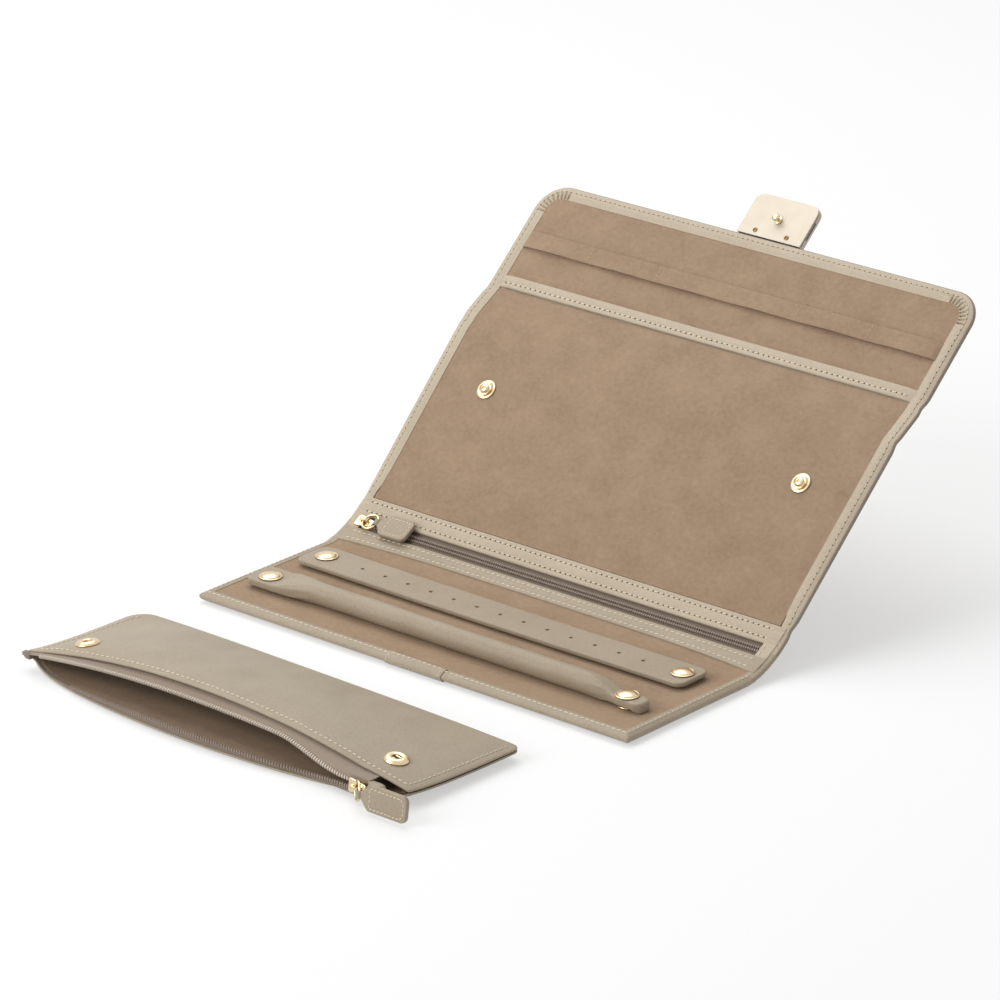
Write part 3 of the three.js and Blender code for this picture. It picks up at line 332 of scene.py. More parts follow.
section = rollSection()
headings = [(end - start).normalized() for start, end in zip(section, section[1:])]
stations = [0.0]
for start, end in zip(section, section[1:]):
    stations.append(stations[-1] + (end - start).length)
foldS = dict(zip(("lower", "lowEdge", "highEdge", "back", "upper", "flap", "end"), stations[1:]))
zipS = (foldS["lowEdge"] + foldS["highEdge"]) / 2
midBack = (foldS["back"] + foldS["upper"]) / 2
midUpper = (foldS["upper"] + foldS["flap"]) / 2


def sectionAt(s):
    for corner, reach in enumerate(rollStrip["bends"], start=1):
        gap = s - stations[corner]
        if abs(gap) < reach:
            before = section[corner] - headings[corner - 1] * reach
            after = section[corner] + headings[corner] * reach
            t = (gap + reach) / (2 * reach)
            place = before * (1 - t) ** 2 + section[corner] * 2 * t * (1 - t) + after * t ** 2
            along = (headings[corner - 1] * (1 - t) + headings[corner] * t).normalized()
            return place, along
    leg = max(0, min(len(headings) - 1, sum(s >= station for station in stations) - 1))
    return section[leg] + headings[leg] * (s - stations[leg]), headings[leg]


# a place on the roll: across, along the section, and above its inside face
def rollPoint(x, s, h):
    place, along = sectionAt(s)
    return Vector((x, place.x - h * along.y, place.y + h * along.x)) * mm


# a seat on the roll for what is turned about its own axis
def seatOn(atX, atS, lift=0):
    return lambda x, y, z: rollPoint(x + atX, atS + y, z + lift)


def clamp(share):
    return max(0.0, min(1.0, share))


def smooth(low, high, value):
    share = clamp((value - low) / (high - low))
    return share * share * (3 - 2 * share)


def tween(table, s):
    for (fromS, fromValue), (toS, toValue) in zip(table, table[1:]):
        if s <= toS:
            return fromValue + (toValue - fromValue) * smooth(fromS, toS, s)
    return table[-1][1]


def halfAt(s):
    share = clamp((s - foldS["back"]) / (foldS["upper"] - foldS["back"]))
    return rollStrip["frontHalf"] + (rollStrip["half"] - rollStrip["frontHalf"]) * share


# the unevenness of glued skin, sewn bands, stuffing and the pouch's walls
def lumps(x, y, seed):
    return noise.noise(Vector((x, y, seed)))


# a square corner of the plan becomes a quarter circle
def roundPlan(x, y, cornerX, cornerY, radius, inX, inY):
    u, v = 1 - (x - cornerX) * inX / radius, 1 - (y - cornerY) * inY / radius
    if u <= 0 or v <= 0:
        return x, y
    share = max(u, v) / math.hypot(u, v)
    return cornerX + inX * radius * (1 - u * share), cornerY + inY * radius * (1 - v * share)


def spread(start, end, step):
    count = max(1, round((end - start) / step))
    return [start + (end - start) * i / count for i in range(1, count)]


def mirrored(places):
    return [*places, *(-place for place in places)]


cutNear = 1e-4   # what a cut or a merge takes as one place
sharpAngle = 38


def cutMesh(bm, axis, cuts):
    normal = Vector((axis == 0, axis == 1, axis == 2))
    for place in cuts:
        bmesh.ops.bisect_plane(bm, geom=bm.verts[:] + bm.edges[:] + bm.faces[:], dist=cutNear,
                               plane_co=normal * place, plane_no=normal)


def roundEdges(bm, edges, offset, segments):
    bmesh.ops.bevel(bm, geom=edges, offset=offset, offset_type="OFFSET", segments=segments, profile=0.5,
                    affect="EDGES", material=-1)


def roundRims(bm, offset, turn=1.2):
    rims = [edge for edge in bm.edges if len(edge.link_faces) == 2 and edge.calc_face_angle(0) > turn]
    roundEdges(bm, rims, offset, 2)


# a slab with rounded rims, cut across so that it can bend
def softSlab(low, high, edge=0.0, cutsX=(), cutsY=(), segments=3):
    bm = bmesh.new()
    bmesh.ops.create_cube(bm, size=1)
    low, high = Vector(low), Vector(high)
    bmesh.ops.scale(bm, vec=high - low, verts=bm.verts)
    bmesh.ops.translate(bm, vec=(low + high) / 2, verts=bm.verts)
    if edge:
        level = [rim for rim in bm.edges if abs(rim.verts[0].co.z - rim.verts[1].co.z) < cutNear]
        roundEdges(bm, level, edge, segments)
    cutMesh(bm, 0, cutsX)
    cutMesh(bm, 1, cutsY)
    return bm


def bendMesh(bm, place):
    for vert in bm.verts:
        vert.co = place(*vert.co)


# after a grid is shaped: all its faces up, or all down
def turnFaces(bm, up):
    bmesh.ops.recalc_face_normals(bm, faces=bm.faces)
    if (sum(face.normal.z for face in bm.faces) > 0) != up:
        bmesh.ops.reverse_faces(bm, faces=bm.faces)


def meshOf(bm, name):
    mesh = bpy.data.meshes.new(name)
    bm.to_mesh(mesh)
    bm.free()
    return mesh


def shadeSoft(mesh, sharp=sharpAngle):
    mesh.shade_smooth()
    mesh.set_sharp_from_angle(angle=math.radians(sharp))


def addPiece(name, bm, materials, body=None, stands=(), sharp=sharpAngle):
    bm.normal_update()
    mesh = meshOf(bm, name)
    for material in materials:
        mesh.materials.append(material)
    shadeSoft(mesh, sharp)
    piece = bpy.data.objects.new(name, mesh)
    bpy.context.collection.objects.link(piece)
    if stands:
        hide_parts(*stands)
    if body:
        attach(piece, body)
    return piece


# a piece that crosses a fold, and one that lifts from the front panel: each only has its placement baked into its mesh
def bendAcross(piece, fold, reach):
    rollPoint(0, fold - reach, 0)
    rollPoint(0, fold + reach, 0)
    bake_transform(piece)


def bendLifted(piece, look):
    rollPoint(look["lift"] - look["bend"], look["s"], look["bendHeight"])
    rollPoint(look["lift"] + look["bend"], look["s"], look["bendHeight"])
    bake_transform(piece)


# sewing: each stitch is a small thread lozenge lying on the surface, with flat dark discs between them for the needle
# holes: painted shade
stitchLook = {"pitch": 2.8, "length": 2.15, "width": 0.64, "height": 0.6, "slant": 7, "sink": 0.05, "hole": 0.46,
              "holeDepth": 0.1}
borderStitch = {**stitchLook, "length": 2.2, "width": 0.6, "height": 0.5, "sink": 0.02, "hole": 0.34}
pullStitch = {**stitchLook, "pitch": 2, "length": 1.5, "width": 0.5, "height": 0.44, "slant": 6, "sink": 0.03}
threadSlot, holeSlot, rimSlot, outsideSlot = 1, 2, 3, 4


def walk(path, distance):
    for start, end in zip(path, path[1:]):
        leg = (end - start).length
        if distance <= leg:
            return start.lerp(end, distance / leg if leg else 0)
        distance -= leg
    return path[-1]


def sewRow(bm, path, place, look=stitchLook, pricked=False, up=1):
    path = [Vector(point) for point in path]
    total = sum((end - start).length for start, end in zip(path, path[1:]))
    count = max(1, round(total / look["pitch"]))
    pitch = total / count
    sewn, holes = [], []
    for i in range(count):
        start = walk(path, pitch * (i + 0.5) - look["length"] / 2)
        end = walk(path, pitch * (i + 0.5) + look["length"] / 2)
        middle = (start + end) / 2
        centre = place(*middle)
        out = (place(middle.x, middle.y, middle.z + up) - centre).normalized()
        along = (place(*end) - place(*start)).normalized()
        along = Matrix.Rotation(math.radians(look["slant"]), 3, out) @ along
        side = out.cross(along).normalized()
        axes = columns(side * look["width"] / 2 * mm, out * look["height"] / 2 * mm, along * look["length"] / 2 * mm)
        sewn.append(Matrix.Translation(centre + out * look["sink"] * mm) @ axes)
        # pricked rows also get the dark discs: painted shade of the needle holes
        if pricked:
            flat = columns(side * look["hole"] * mm, out * look["holeDepth"] * mm, along * look["hole"] * mm)
            holes.append(Matrix.Translation(place(*walk(path, pitch * i))) @ flat)
    scatter(bm, sewn, threadSlot)
    scatter(bm, holes, holeSlot)


# copies of one small bead, each set by its own matrix
def scatter(bm, matrices, slot, sides=6, rings=4):
    bead = bmesh.new()
    bmesh.ops.create_uvsphere(bead, u_segments=sides, v_segments=rings, radius=1)
    for face in bead.faces:
        face.material_index = slot
    count = len(bead.verts)
    single = meshOf(bead, "bead")
    beads = bmesh.new()
    for matrix in matrices:
        beads.from_mesh(single)
    for i, vert in enumerate(beads.verts):
        vert.co = matrices[i // count] @ vert.co
    row = meshOf(beads, "row")
    bm.from_mesh(row)
    bpy.data.meshes.remove(single)
    bpy.data.meshes.remove(row)


def carve(piece, cutter):
    tool = bpy.data.objects.new("cutter", cutter)
    bpy.context.collection.objects.link(tool)
    step = piece.modifiers.new("holes", "BOOLEAN")
    step.operation = "DIFFERENCE"
    step.solver = "EXACT"
    step.object = tool
    shaped = bpy.data.meshes.new_from_object(piece.evaluated_get(bpy.context.evaluated_depsgraph_get()))
    piece.modifiers.clear()
    piece.data = shaped
    shaped.set_sharp_from_angle(angle=math.radians(sharpAngle))
    bpy.data.objects.remove(tool)


# leather of the roll: one strip from the front edge to the flap, split inside the panels and bent at the folds
leatherStrip = {"depth": [(0, 4.3), (78, 4.3), (82, 3.0), (86, 3.1), (104, 3.1), (108.1, 2.4), (112.5, 3.2),
                          (194.5, 3.2), (199.1, 2.1), (215, 2.05), (219.5, 2.0), (224.5, 3.2), (276, 3.2)],
                "recess": [(0, 0.7), (81, 0.7), (83, 2.2), (107, 2.2), (109, 0.7), (276, 0.7)],
                "thinnest": 2.05, "fullDepth": 3, "thickFrom": (3.3, 4.2), "liftFrom": (2.2, 3.2), "slack": 0.1,
                "crown": 0.22, "crownFrom": 0.8, "topFace": 0.05, "rimReach": 3.6, "rimDrop": 0.5, "rimPower": 1.7,
                "rimLift": (0.5, 1.9), "nose": 0.5, "rimFrom": 0.2, "rimTo": 1, "outerLine": 2, "frontLine": 2.7,
                "stitchLine": 2.1, "sewnBeside": 2, "pleats": 9, "pleatDepth": 1.1, "pleatWidth": 0.2,
                "pleatReach": (1.7, 3.4), "pinch": 0.55, "pinchReach": 2.6, "pinchFrom": 14,
                "steps": (1.5, 2.1, 2.8, 3.5, 4.2, 4.7), "innerStep": 0.2, "cornerSteps": (0.4, 0.8, 1.2), "margin": 8,
                "stepX": 14, "stepS": 9, "foldStep": 0.8, "pleatStep": 0.3}
slabDepth = leatherStrip["depth"][0][1]

# room for the catch, let into the front panel from below
pocket = {"half": 6.4, "wall": 0.2, "roof": 0.84}
catchLow, catchHigh = (Vector(corner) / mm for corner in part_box("catch_socket"))
pocketX = (catchLow.x + catchHigh.x) / 2
pocketS = (catchLow.y + catchHigh.y) / 2 - rollPoint(0, 0, 0).y / mm


def edgeGap(x, s):
    return min(rollStrip["half"] - abs(x), s, foldS["end"] - s)


# the turned-over border is broader on the back panel and the flap
def borderAt(s):
    return rollStrip["border"] + (rollStrip["wideBorder"] - rollStrip["border"]) * smooth(
        foldS["back"], foldS["back"] + rollStrip["widenOver"], s)


def broaden(gap, s, span):
    border, wide = rollStrip["border"], borderAt(s)
    if gap <= border:
        return gap * wide / border
    return wide + (gap - border) * (span - wide) / (span - border)


def stripPoint(x, s, h):
    half = rollStrip["half"]
    x = math.copysign(half - broaden(half - abs(x), s, half), x)
    if s > foldS["flap"]:
        s = foldS["end"] - broaden(foldS["end"] - s, s, foldS["end"] - foldS["flap"])
    for side in (-1, 1):
        x, s = roundPlan(x, s, side * half, foldS["end"], rollStrip["flapCorner"], -side, -1)
        x, s = roundPlan(x, s, side * half, 0, rollStrip["frontCorner"], -side, 1)
    pinch = sum(math.exp(-((s - foldS[fold]) / leatherStrip["pinchReach"]) ** 2) for fold in ("back", "upper", "flap"))
    wide = halfAt(s) - leatherStrip["pinch"] * pinch * smooth(half - leatherStrip["pinchFrom"], half, abs(x))
    return rollPoint(x * wide / half, s, h)


# gathers in the border round the flap's corners
def pleat(x, s):
    reach = rollStrip["flapCorner"]
    u = (abs(x) - rollStrip["half"] + reach) / reach
    v = (s - foldS["end"] + reach) / reach
    if u <= 0 or v <= 0:
        return 0
    angle = math.atan2(v, u) / (math.pi / 2)
    phase = (angle * leatherStrip["pleats"]) % 1 - 0.5
    fold = math.exp(-(phase / leatherStrip["pleatWidth"]) ** 2)
    return -leatherStrip["pleatDepth"] * fold * smooth(*leatherStrip["pleatReach"], edgeGap(x, s))


# the flat slab's heights become a skin: a border with a rounded rim, a recess inside it, and the outside
def skinHeight(x, s, h):
    depth = tween(leatherStrip["depth"], s)
    gap = edgeGap(x, s)
    rim = max(0.0, 1 - gap / leatherStrip["rimReach"])
    thick = smooth(*leatherStrip["thickFrom"], depth)
    nose = 1 - leatherStrip["nose"] * thick
    if h > -rollStrip["edge"] - leatherStrip["slack"]:
        if gap > rollStrip["border"] + leatherStrip["slack"]:
            return -tween(leatherStrip["recess"], s)
        drop = leatherStrip["rimDrop"] * (depth - leatherStrip["thinnest"]) * rim ** leatherStrip["rimPower"]
        crown = leatherStrip["crown"] * math.sin(math.pi * smooth(leatherStrip["crownFrom"], rollStrip["border"], gap))
        return h * nose - drop + (crown + pleat(x, s) if h > -leatherStrip["topFace"] else 0)
    if max(abs(x - pocketX), abs(s - pocketS)) < pocket["half"]:
        return -pocket["roof"]
    low, high = leatherStrip["rimLift"]
    lift = (low + (high - low) * thick) * rim ** 2 * smooth(*leatherStrip["liftFrom"], depth)
    return -depth + lift + (h + slabDepth) * min(1, depth / leatherStrip["fullDepth"]) * nose


def borderPoint(x, s, h):
    return stripPoint(x, s, skinHeight(x, s, 0) + h)


def outsidePoint(x, s, h):
    inward = leatherStrip["outerLine"]
    x -= math.copysign(inward, x) * smooth(0, inward, rollStrip["half"] - abs(x))
    s += inward * (smooth(inward * 2, 0, s) - smooth(inward * 2, 0, foldS["end"] - s))
    return stripPoint(x, s, skinHeight(x, s, -slabDepth) - h)


def rollLeather(name, fromS, toS, bend, reach, stands):
    half, border, last = rollStrip["half"], rollStrip["border"], foldS["end"]
    steps = [*leatherStrip["steps"], border, border + leatherStrip["innerStep"]]
    span, margin = rollStrip["foldSpan"], leatherStrip["margin"]
    cutsX = mirrored([half - gap for gap in steps]) + spread(margin - half, half - margin, leatherStrip["stepX"])
    cutsS = spread(fromS, toS, leatherStrip["stepS"])
    for fold in stations[1:-1]:
        cutsS += spread(fold - span, fold + span, leatherStrip["foldStep"])
    if fromS == 0:
        cutsS += steps
        cutsX += mirrored([half - gap for gap in leatherStrip["cornerSteps"]])
        walls = [side * pocket["half"] + gap for side in (-1, 1) for gap in (-pocket["wall"], pocket["wall"])]
        cutsX += [pocketX + wall for wall in walls]
        cutsS += [pocketS + wall for wall in walls]
    if toS == last:
        fine = spread(0, rollStrip["flapCorner"], leatherStrip["pleatStep"])
        cutsS += [last - gap for gap in fine + steps[-2:]]
        cutsX += mirrored([half - gap for gap in fine])
    bm = softSlab((-half, 0, -slabDepth), (half, last, 0), rollStrip["edge"],
                  sorted(set(cutsX)), sorted(s for s in set(cutsS) if fromS < s < toS))
    for place, side in ((fromS, -1), (toS, 1)):
        if 0 < place < last:
            cut = bmesh.ops.bisect_plane(bm, geom=bm.verts[:] + bm.edges[:] + bm.faces[:], dist=cutNear,
                                         plane_co=(0, place, 0), plane_no=(0, side, 0), clear_outer=True)
            bmesh.ops.holes_fill(bm, edges=[edge for edge in cut["geom_cut"] if isinstance(edge, bmesh.types.BMEdge)])
    for face in bm.faces:   # behind the front panel, the rolled rim takes a darker copy of the leather, painted shade, and the outside takes the taupe leather
        height = face.calc_center_median().z
        if height < -leatherStrip["rimFrom"] and fromS > 0:
            face.material_index = rimSlot if height > leatherStrip["rimTo"] - slabDepth else outsideSlot
    bendMesh(bm, lambda x, s, h: stripPoint(x, s, skinHeight(x, s, h)))
    line = leatherStrip["frontLine" if fromS == 0 else "stitchLine"]
    beside = leatherStrip["sewnBeside"]
    startS = foldS["back"] + beside if fromS == zipS else max(fromS, line)
    endS = foldS["lower"] - beside if toS == zipS else min(toS, last - line)
    rows = [[(x, startS, 0), (x, endS, 0)] for x in (line - half, half - line)]
    if fromS == 0:
        rows.append([(line - half, line, 0), (half - line, line, 0)])
    if toS == last:
        rows.append([(line - half, last - line, 0), (half - line, last - line, 0)])
    for row in rows:
        sewRow(bm, row, borderPoint, stitchLook if fromS == 0 else borderStitch, fromS > 0)
        sewRow(bm, row, outsidePoint)
    # behind the front panel the inside face takes the paler copy of the leather: painted sheen
    skin, rowThread = (leather, thread) if fromS == 0 else (sheenPaintedLeather, tonalThread)
    piece = addPiece(name, bm, [skin, rowThread, needleHoleShade, rimShadePaintedLeather, leather], stands=stands)
    bendAcross(piece, bend, reach)
    2 * half * mm


rollLeather("roll_leather_front", 0, zipS, foldS["lower"], 5, ["front_leather"])
rollLeather("roll_leather_spine", zipS, midBack, foldS["back"], 4.5, ["spine_leather"])
rollLeather("roll_leather_back", midBack, midUpper, foldS["upper"], 6,
            ["back_leather"])
rollLeather("roll_leather_flap", midUpper, foldS["end"], foldS["flap"], 4.5,
            ["upper_spine_leather", "flap_leather"])
print("roll leather made")


# suede linings, with the small unevenness of glued skin
lining = {"top": -0.22, "thickness": 0.75, "wave": 0.14, "span": 22, "calm": 10, "step": 4.5, "foldStep": 1,
          "tuck": 0.5, "up": 4.8, "frontBend": 5, "upperBend": 6, "backFrom": 0.2, "backPast": 0.25, "flapFrom": 2.6,
          "slack": 0.5, "slackBefore": 3.5, "slackReach": 3.2, "slackCalm": 14, "ripple": 0.4, "rippleSpan": 30}


def suedePiece(name, stands, fromS, toS):
    border = borderAt(toS) - lining["tuck"]
    half = rollStrip["half"] - border
    span = rollStrip["foldSpan"]
    cutsS = spread(fromS, toS, lining["step"])
    for fold in stations[1:-1]:
        cutsS += [s for s in spread(fold - span, fold + span, lining["foldStep"]) if fromS < s < toS]
    bm = softSlab((-half, fromS, lining["top"] - lining["thickness"]), (half, toS, lining["top"]), 0.0,
                  spread(-half, half, lining["step"]), sorted(set(cutsS)))
    slackS = foldS["flap"] - lining["slackBefore"]

    def suedePoint(x, s, h):
        inside = half - abs(x)
        lift = lining["wave"] * lumps(x / lining["span"], s / lining["span"], 3.7) * smooth(0, lining["calm"], inside)
        if name == "back_suede":   # loose skin over the fold to the flap
            ripple = 1 - lining["ripple"] + lining["ripple"] * lumps(x / lining["rippleSpan"], 0.3, 9.1)
            loose = lining["slack"] * ripple * math.exp(-((s - slackS) / lining["slackReach"]) ** 2)
            lift += loose * smooth(0, lining["slackCalm"], inside)
        if name == "flap_suede":
            for side in (-1, 1):
                x, s = roundPlan(x, s, side * half, toS, rollStrip["flapCorner"] - border, -side, -1)
        return rollPoint(x * halfAt(s) / rollStrip["half"], s, h + lift)

    bendMesh(bm, suedePoint)
    piece = addPiece(name, bm, [suede], stands=stands)
    2 * half * mm
    (toS - fromS) * mm
    return piece


frontLining = suedePiece("front_suede", ["front_lining"], rollStrip["border"] - lining["tuck"],
                         foldS["lower"] + lining["up"])
bendAcross(frontLining, foldS["lower"], lining["frontBend"])
backLining = suedePiece("back_suede", ["back_lining", "upper_spine_lining"], foldS["back"] + lining["backFrom"],
                        foldS["flap"] + lining["backPast"])
bendAcross(backLining, foldS["upper"], lining["upperBend"])
flapLining = suedePiece("flap_suede", ["flap_lining"], foldS["flap"] + lining["flapFrom"],
                        foldS["end"] - rollStrip["wideBorder"] + lining["tuck"])
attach(flapLining, "flap")
print("linings made")


# zip spine: two sewn bands, tape, coil and end patches
zipBand = {"end": 115.2, "top": 0.35, "thickness": 1.15, "puff": 0.28, "dent": 0.22, "dentReach": 0.75,
           "lowerRows": (0.24, 0.74), "upperRows": (0.26, 0.76), "lowerFrom": 0.15, "upperTo": 0.1, "rowEnd": 5,
           "rowRise": 0.1, "rowPuff": 0.7, "edge": 0.5, "turnedUnder": 4, "arch": 2.8, "topFace": 0.3, "wave": 0.08,
           "waveSpan": (9, 6), "stepX": 7, "stepS": 0.55}


# bands take the paler copy of the leather by default: painted sheen
def sewnBand(name, fromS, toS, rows, body, stands, end=zipBand["end"], material=sheenPaintedLeather, top=zipBand["top"],
             place=rollPoint, pricked=False):
    width = toS - fromS
    lines = [fromS + width * row for row in rows]
    bm = softSlab((-end, fromS, top - zipBand["thickness"]), (end, toS, top), zipBand["edge"],
                  spread(-end, end, zipBand["stepX"]), spread(fromS, toS, zipBand["stepS"]))
    spanX, spanS = zipBand["waveSpan"]

    def puffed(x, s, h):
        if h > top - zipBand["topFace"]:
            share = (s - fromS) / width
            dent = sum(math.exp(-((s - line) / zipBand["dentReach"]) ** 2) for line in lines)
            wave = zipBand["wave"] * lumps(x / spanX, s / spanS, 1.3)
            h += zipBand["puff"] * (1 - (2 * share - 1) ** 4) - zipBand["dent"] * dent + wave
        return place(x, s, h)

    bendMesh(bm, puffed)
    height = top + zipBand["puff"] * zipBand["rowPuff"] - zipBand["dent"] + zipBand["rowRise"]
    rowEnd = end - zipBand["rowEnd"]
    for line in lines:
        sewRow(bm, [(-rowEnd, line, height), (rowEnd, line, height)], place, stitchLook, pricked)
    piece = addPiece(name, bm, [material, thread, needleHoleShade], body, stands)
    2 * end * mm
    (width + zipBand["turnedUnder"]) * mm
    2 * end * width * mm * mm
    "roll_leather_spine" if body == "spine" else "flap_suede"


# the lower band's edge stands up the slope in the middle of the fold
def archedPoint(x, s, h):
    share = (s - foldS["lower"]) / rollStrip["lowerBand"]
    return rollPoint(x, s + zipBand["arch"] * (1 - share) * max(0.0, 1 - (x / zipBand["end"]) ** 4), h)


sewnBand("lower_band", foldS["lower"] + zipBand["lowerFrom"], foldS["lowEdge"], zipBand["lowerRows"], "spine",
         ["spine_lower_band"], material=leather, place=archedPoint)
sewnBand("upper_band", foldS["highEdge"], foldS["back"] - zipBand["upperTo"], zipBand["upperRows"], "spine",
         ["spine_upper_band"], pricked=True)

zipLook = {"half": 112, "tapeTop": -1.05, "tape": 0.4, "tapeEdge": 0.1, "tuck": 6.8, "parting": 0.03, "stepX": 12,
           "stepS": 1, "toothPitch": 1.15, "tooth": (0.46, 0.82, 0.52), "toothHeight": -0.42, "toothLine": 0.92,
           "stagger": {-1: 0.25, 1: 0.75}, "toothSides": 8}


def zipTapePiece(name, fromS, toS, stands):
    half, top = zipLook["half"], zipLook["tapeTop"]
    bm = softSlab((-half, fromS, top - zipLook["tape"]), (half, toS, top), zipLook["tapeEdge"],
                  spread(-half, half, zipLook["stepX"]), spread(fromS, toS, zipLook["stepS"]))
    bendMesh(bm, rollPoint)
    piece = addPiece(name, bm, [zipTape], "spine", [stands])


def zipTeeth(name, side, stands):
    s = zipS + side * zipLook["toothLine"]
    wide, deep, tall = (size * mm for size in zipLook["tooth"])
    _, along = sectionAt(s)
    axes = Matrix(((wide, 0, 0), (0, deep * along.x, -tall * along.y), (0, deep * along.y, tall * along.x))).to_4x4()
    seats = []
    for i in range(round(2 * zipLook["half"] / zipLook["toothPitch"])):
        x = -zipLook["half"] + (i + zipLook["stagger"][side]) * zipLook["toothPitch"]
        seats.append(Matrix.Translation(rollPoint(x, s, zipLook["toothHeight"])) @ axes)
    bm = bmesh.new()
    scatter(bm, seats, 0, zipLook["toothSides"])
    addPiece(name, bm, [coilNylon], "spine", [stands])


zipTapePiece("spine_tape_lower", foldS["lowEdge"] - zipLook["tuck"], zipS - zipLook["parting"], "zip_tape_lower")
zipTapePiece("spine_tape_upper", zipS + zipLook["parting"], foldS["highEdge"] + zipLook["tuck"], "zip_tape_upper")
zipTeeth("spine_teeth_lower", -1, "zip_coil_lower")
zipTeeth("spine_teeth_upper", 1, "zip_coil_upper")

# a patch at each end of the zip, sewn across it
zipEnd = {"inset": 0.2, "patch": 6.4, "over": 0.6, "low": -0.5, "top": 0.45, "edge": 0.3, "line": 1.6, "rowTop": 0.46}


def zipPatch(name, side):
    outer, inner = zipBand["end"] - zipEnd["inset"], zipBand["end"] - zipEnd["patch"]
    low, high = sorted((side * inner, side * outer))
    fromS, toS = foldS["lowEdge"], foldS["highEdge"]
    bm = softSlab((low, fromS - zipEnd["over"], zipEnd["low"]), (high, toS + zipEnd["over"], zipEnd["top"]),
                  zipEnd["edge"], spread(low, high, 1), spread(fromS, toS, 1))
    bendMesh(bm, rollPoint)
    line = side * (inner + zipEnd["line"])
    sewRow(bm, [(line, fromS, zipEnd["rowTop"]), (line, toS, zipEnd["rowTop"])], rollPoint)
    # the zip patches take the paler copy of the leather: painted sheen
    addPiece(name, bm, [sheenPaintedLeather, thread], "spine")


zipPatch("zip_patch_right", 1)
zipPatch("zip_patch_left", -1)
print("zip spine made")


# turned metal: a profile of radius and height spun about its axis
def turnedPiece(name, profile, place, material, body, stands, steps=44, sharp=50):
    bm = bmesh.new()
    verts = [bm.verts.new((radius, 0, height)) for radius, height in profile]
    edges = [bm.edges.new(pair) for pair in zip(verts, verts[1:])]
    bmesh.ops.spin(bm, geom=verts + edges, cent=(0, 0, 0), axis=(0, 0, 1), angle=2 * math.pi, steps=steps,
                   use_merge=True)
    bmesh.ops.remove_doubles(bm, verts=bm.verts, dist=cutNear)
    bmesh.ops.recalc_face_normals(bm, faces=bm.faces)
    bendMesh(bm, place)
    return addPiece(name, bm, [material], body, stands, sharp)


def arc(fromRadius, fromHeight, toRadius, toHeight, steps):
    points = []
    for i in range(steps + 1):
        angle = math.pi / 2 * i / steps
        points.append((toRadius + (fromRadius - toRadius) * math.cos(angle),
                       fromHeight + (toHeight - fromHeight) * math.sin(angle)))
    return points


fastener = {"x": 97.4, "flange": 3.9, "foot": -0.1, "flangeTop": 0.9, "post": 1.5, "cap": 5, "rim": 0.55, "dome": 1.1,
            "groove": 0.18, "reach": 0.8, "stack": 0.2, "bore": 1.9, "boreTop": 1.25}
bar = {"s": 23.5, "radius": 4.7, "tabHalf": 6.25, "rightTabHalf": 4.7, "tab": 3.6, "under": 1.1, "end": 106.8,
       "corner": 3, "taper": 26, "flatLeft": -91, "flatRight": 93, "rightTaper": 16, "fullPower": 0.6,
       "squareness": 0.35, "pucker": 0.16, "creases": 9, "creaseLean": 0.25, "lump": 0.16, "lumpSpan": 14,
       "pinchAt": 91, "pinchReach": 4.5, "pinch": 0.2, "tipNarrow": 0.34, "droopFrom": 102, "droop": 0.9,
       "swell": 0.35, "backHalf": 0.9, "backRise": 2, "backFrom": 0.55, "endRound": 0.9, "endShare": 0.45,
       "endSteps": (0.15, 0.4, 0.8, 1.5, 2.5, 3.4), "step": 2.2, "sides": 40, "capInset": 0.3, "sharp": 70,
       "fill": 0.85, "lift": -88.6, "bend": 4, "bendHeight": 2}
strap = {"s": 58.5, "half": 10, "thickness": 2.2, "ends": (-107, 104), "under": 1.1, "edge": 0.75, "corner": 4.5,
         "endSteps": (0.4, 1.1, 1.8, 2.6, 3.4, 4.2), "margin": 5, "step": 6, "rimSegments": 4, "holes": 13,
         "pitch": 12.8, "hole": 0.9, "punch": 8, "punchAt": 1, "punchSides": 20, "sag": 0.35, "free": 88, "wave": 0.12,
         "waveSpan": (26, 20), "calm": 20, "lift": -88.6, "bend": 4, "bendHeight": 2}


def capProfile(foot):
    rim = foot + fastener["rim"]
    cap = fastener["cap"]
    head = arc(cap - 0.75, rim - fastener["groove"], 0, rim + fastener["dome"], 10)
    return [(cap - 0.3, foot), (cap, foot + 0.2), (cap, rim - 0.15), (cap - 0.2, rim), (cap - 0.5, rim),
            (cap - 0.7, rim - fastener["groove"])] + head


def fasteners(kind, s, capFoot, body):
    left, right = seatOn(-fastener["x"], s), seatOn(fastener["x"], s)
    foot, flange, top, post = (fastener[key] for key in ("foot", "flange", "flangeTop", "post"))
    tip = capFoot + fastener["reach"]
    base = [(0, foot), (flange - 0.2, foot), (flange, foot + 0.2), (flange, top - 0.25), (flange - 0.25, top),
            (post, top)]
    turnedPiece(kind + "_stud_base", base + [(post, tip - 0.2), (post - 0.2, tip), (0, tip)], right, brightGold,
                "front_panel", [kind + "_stud"])
    turnedPiece(kind + "_rivet_cap", base + [(post, capFoot)] + capProfile(capFoot), left, brightGold,
                "front_panel", [kind + "_rivet"])
    boreTop = capFoot + fastener["boreTop"]
    bore = [(0, boreTop), (fastener["bore"], boreTop), (fastener["bore"], capFoot)]
    turnedPiece(kind + "_snap_cap", bore + capProfile(capFoot), right, brightGold, body, [kind + "_snap"])


fasteners("ring_bar", bar["s"], bar["under"] + bar["tab"] + fastener["stack"], "bar")
fasteners("earring_strap", strap["s"], strap["under"] + strap["thickness"] + fastener["stack"], "strap")


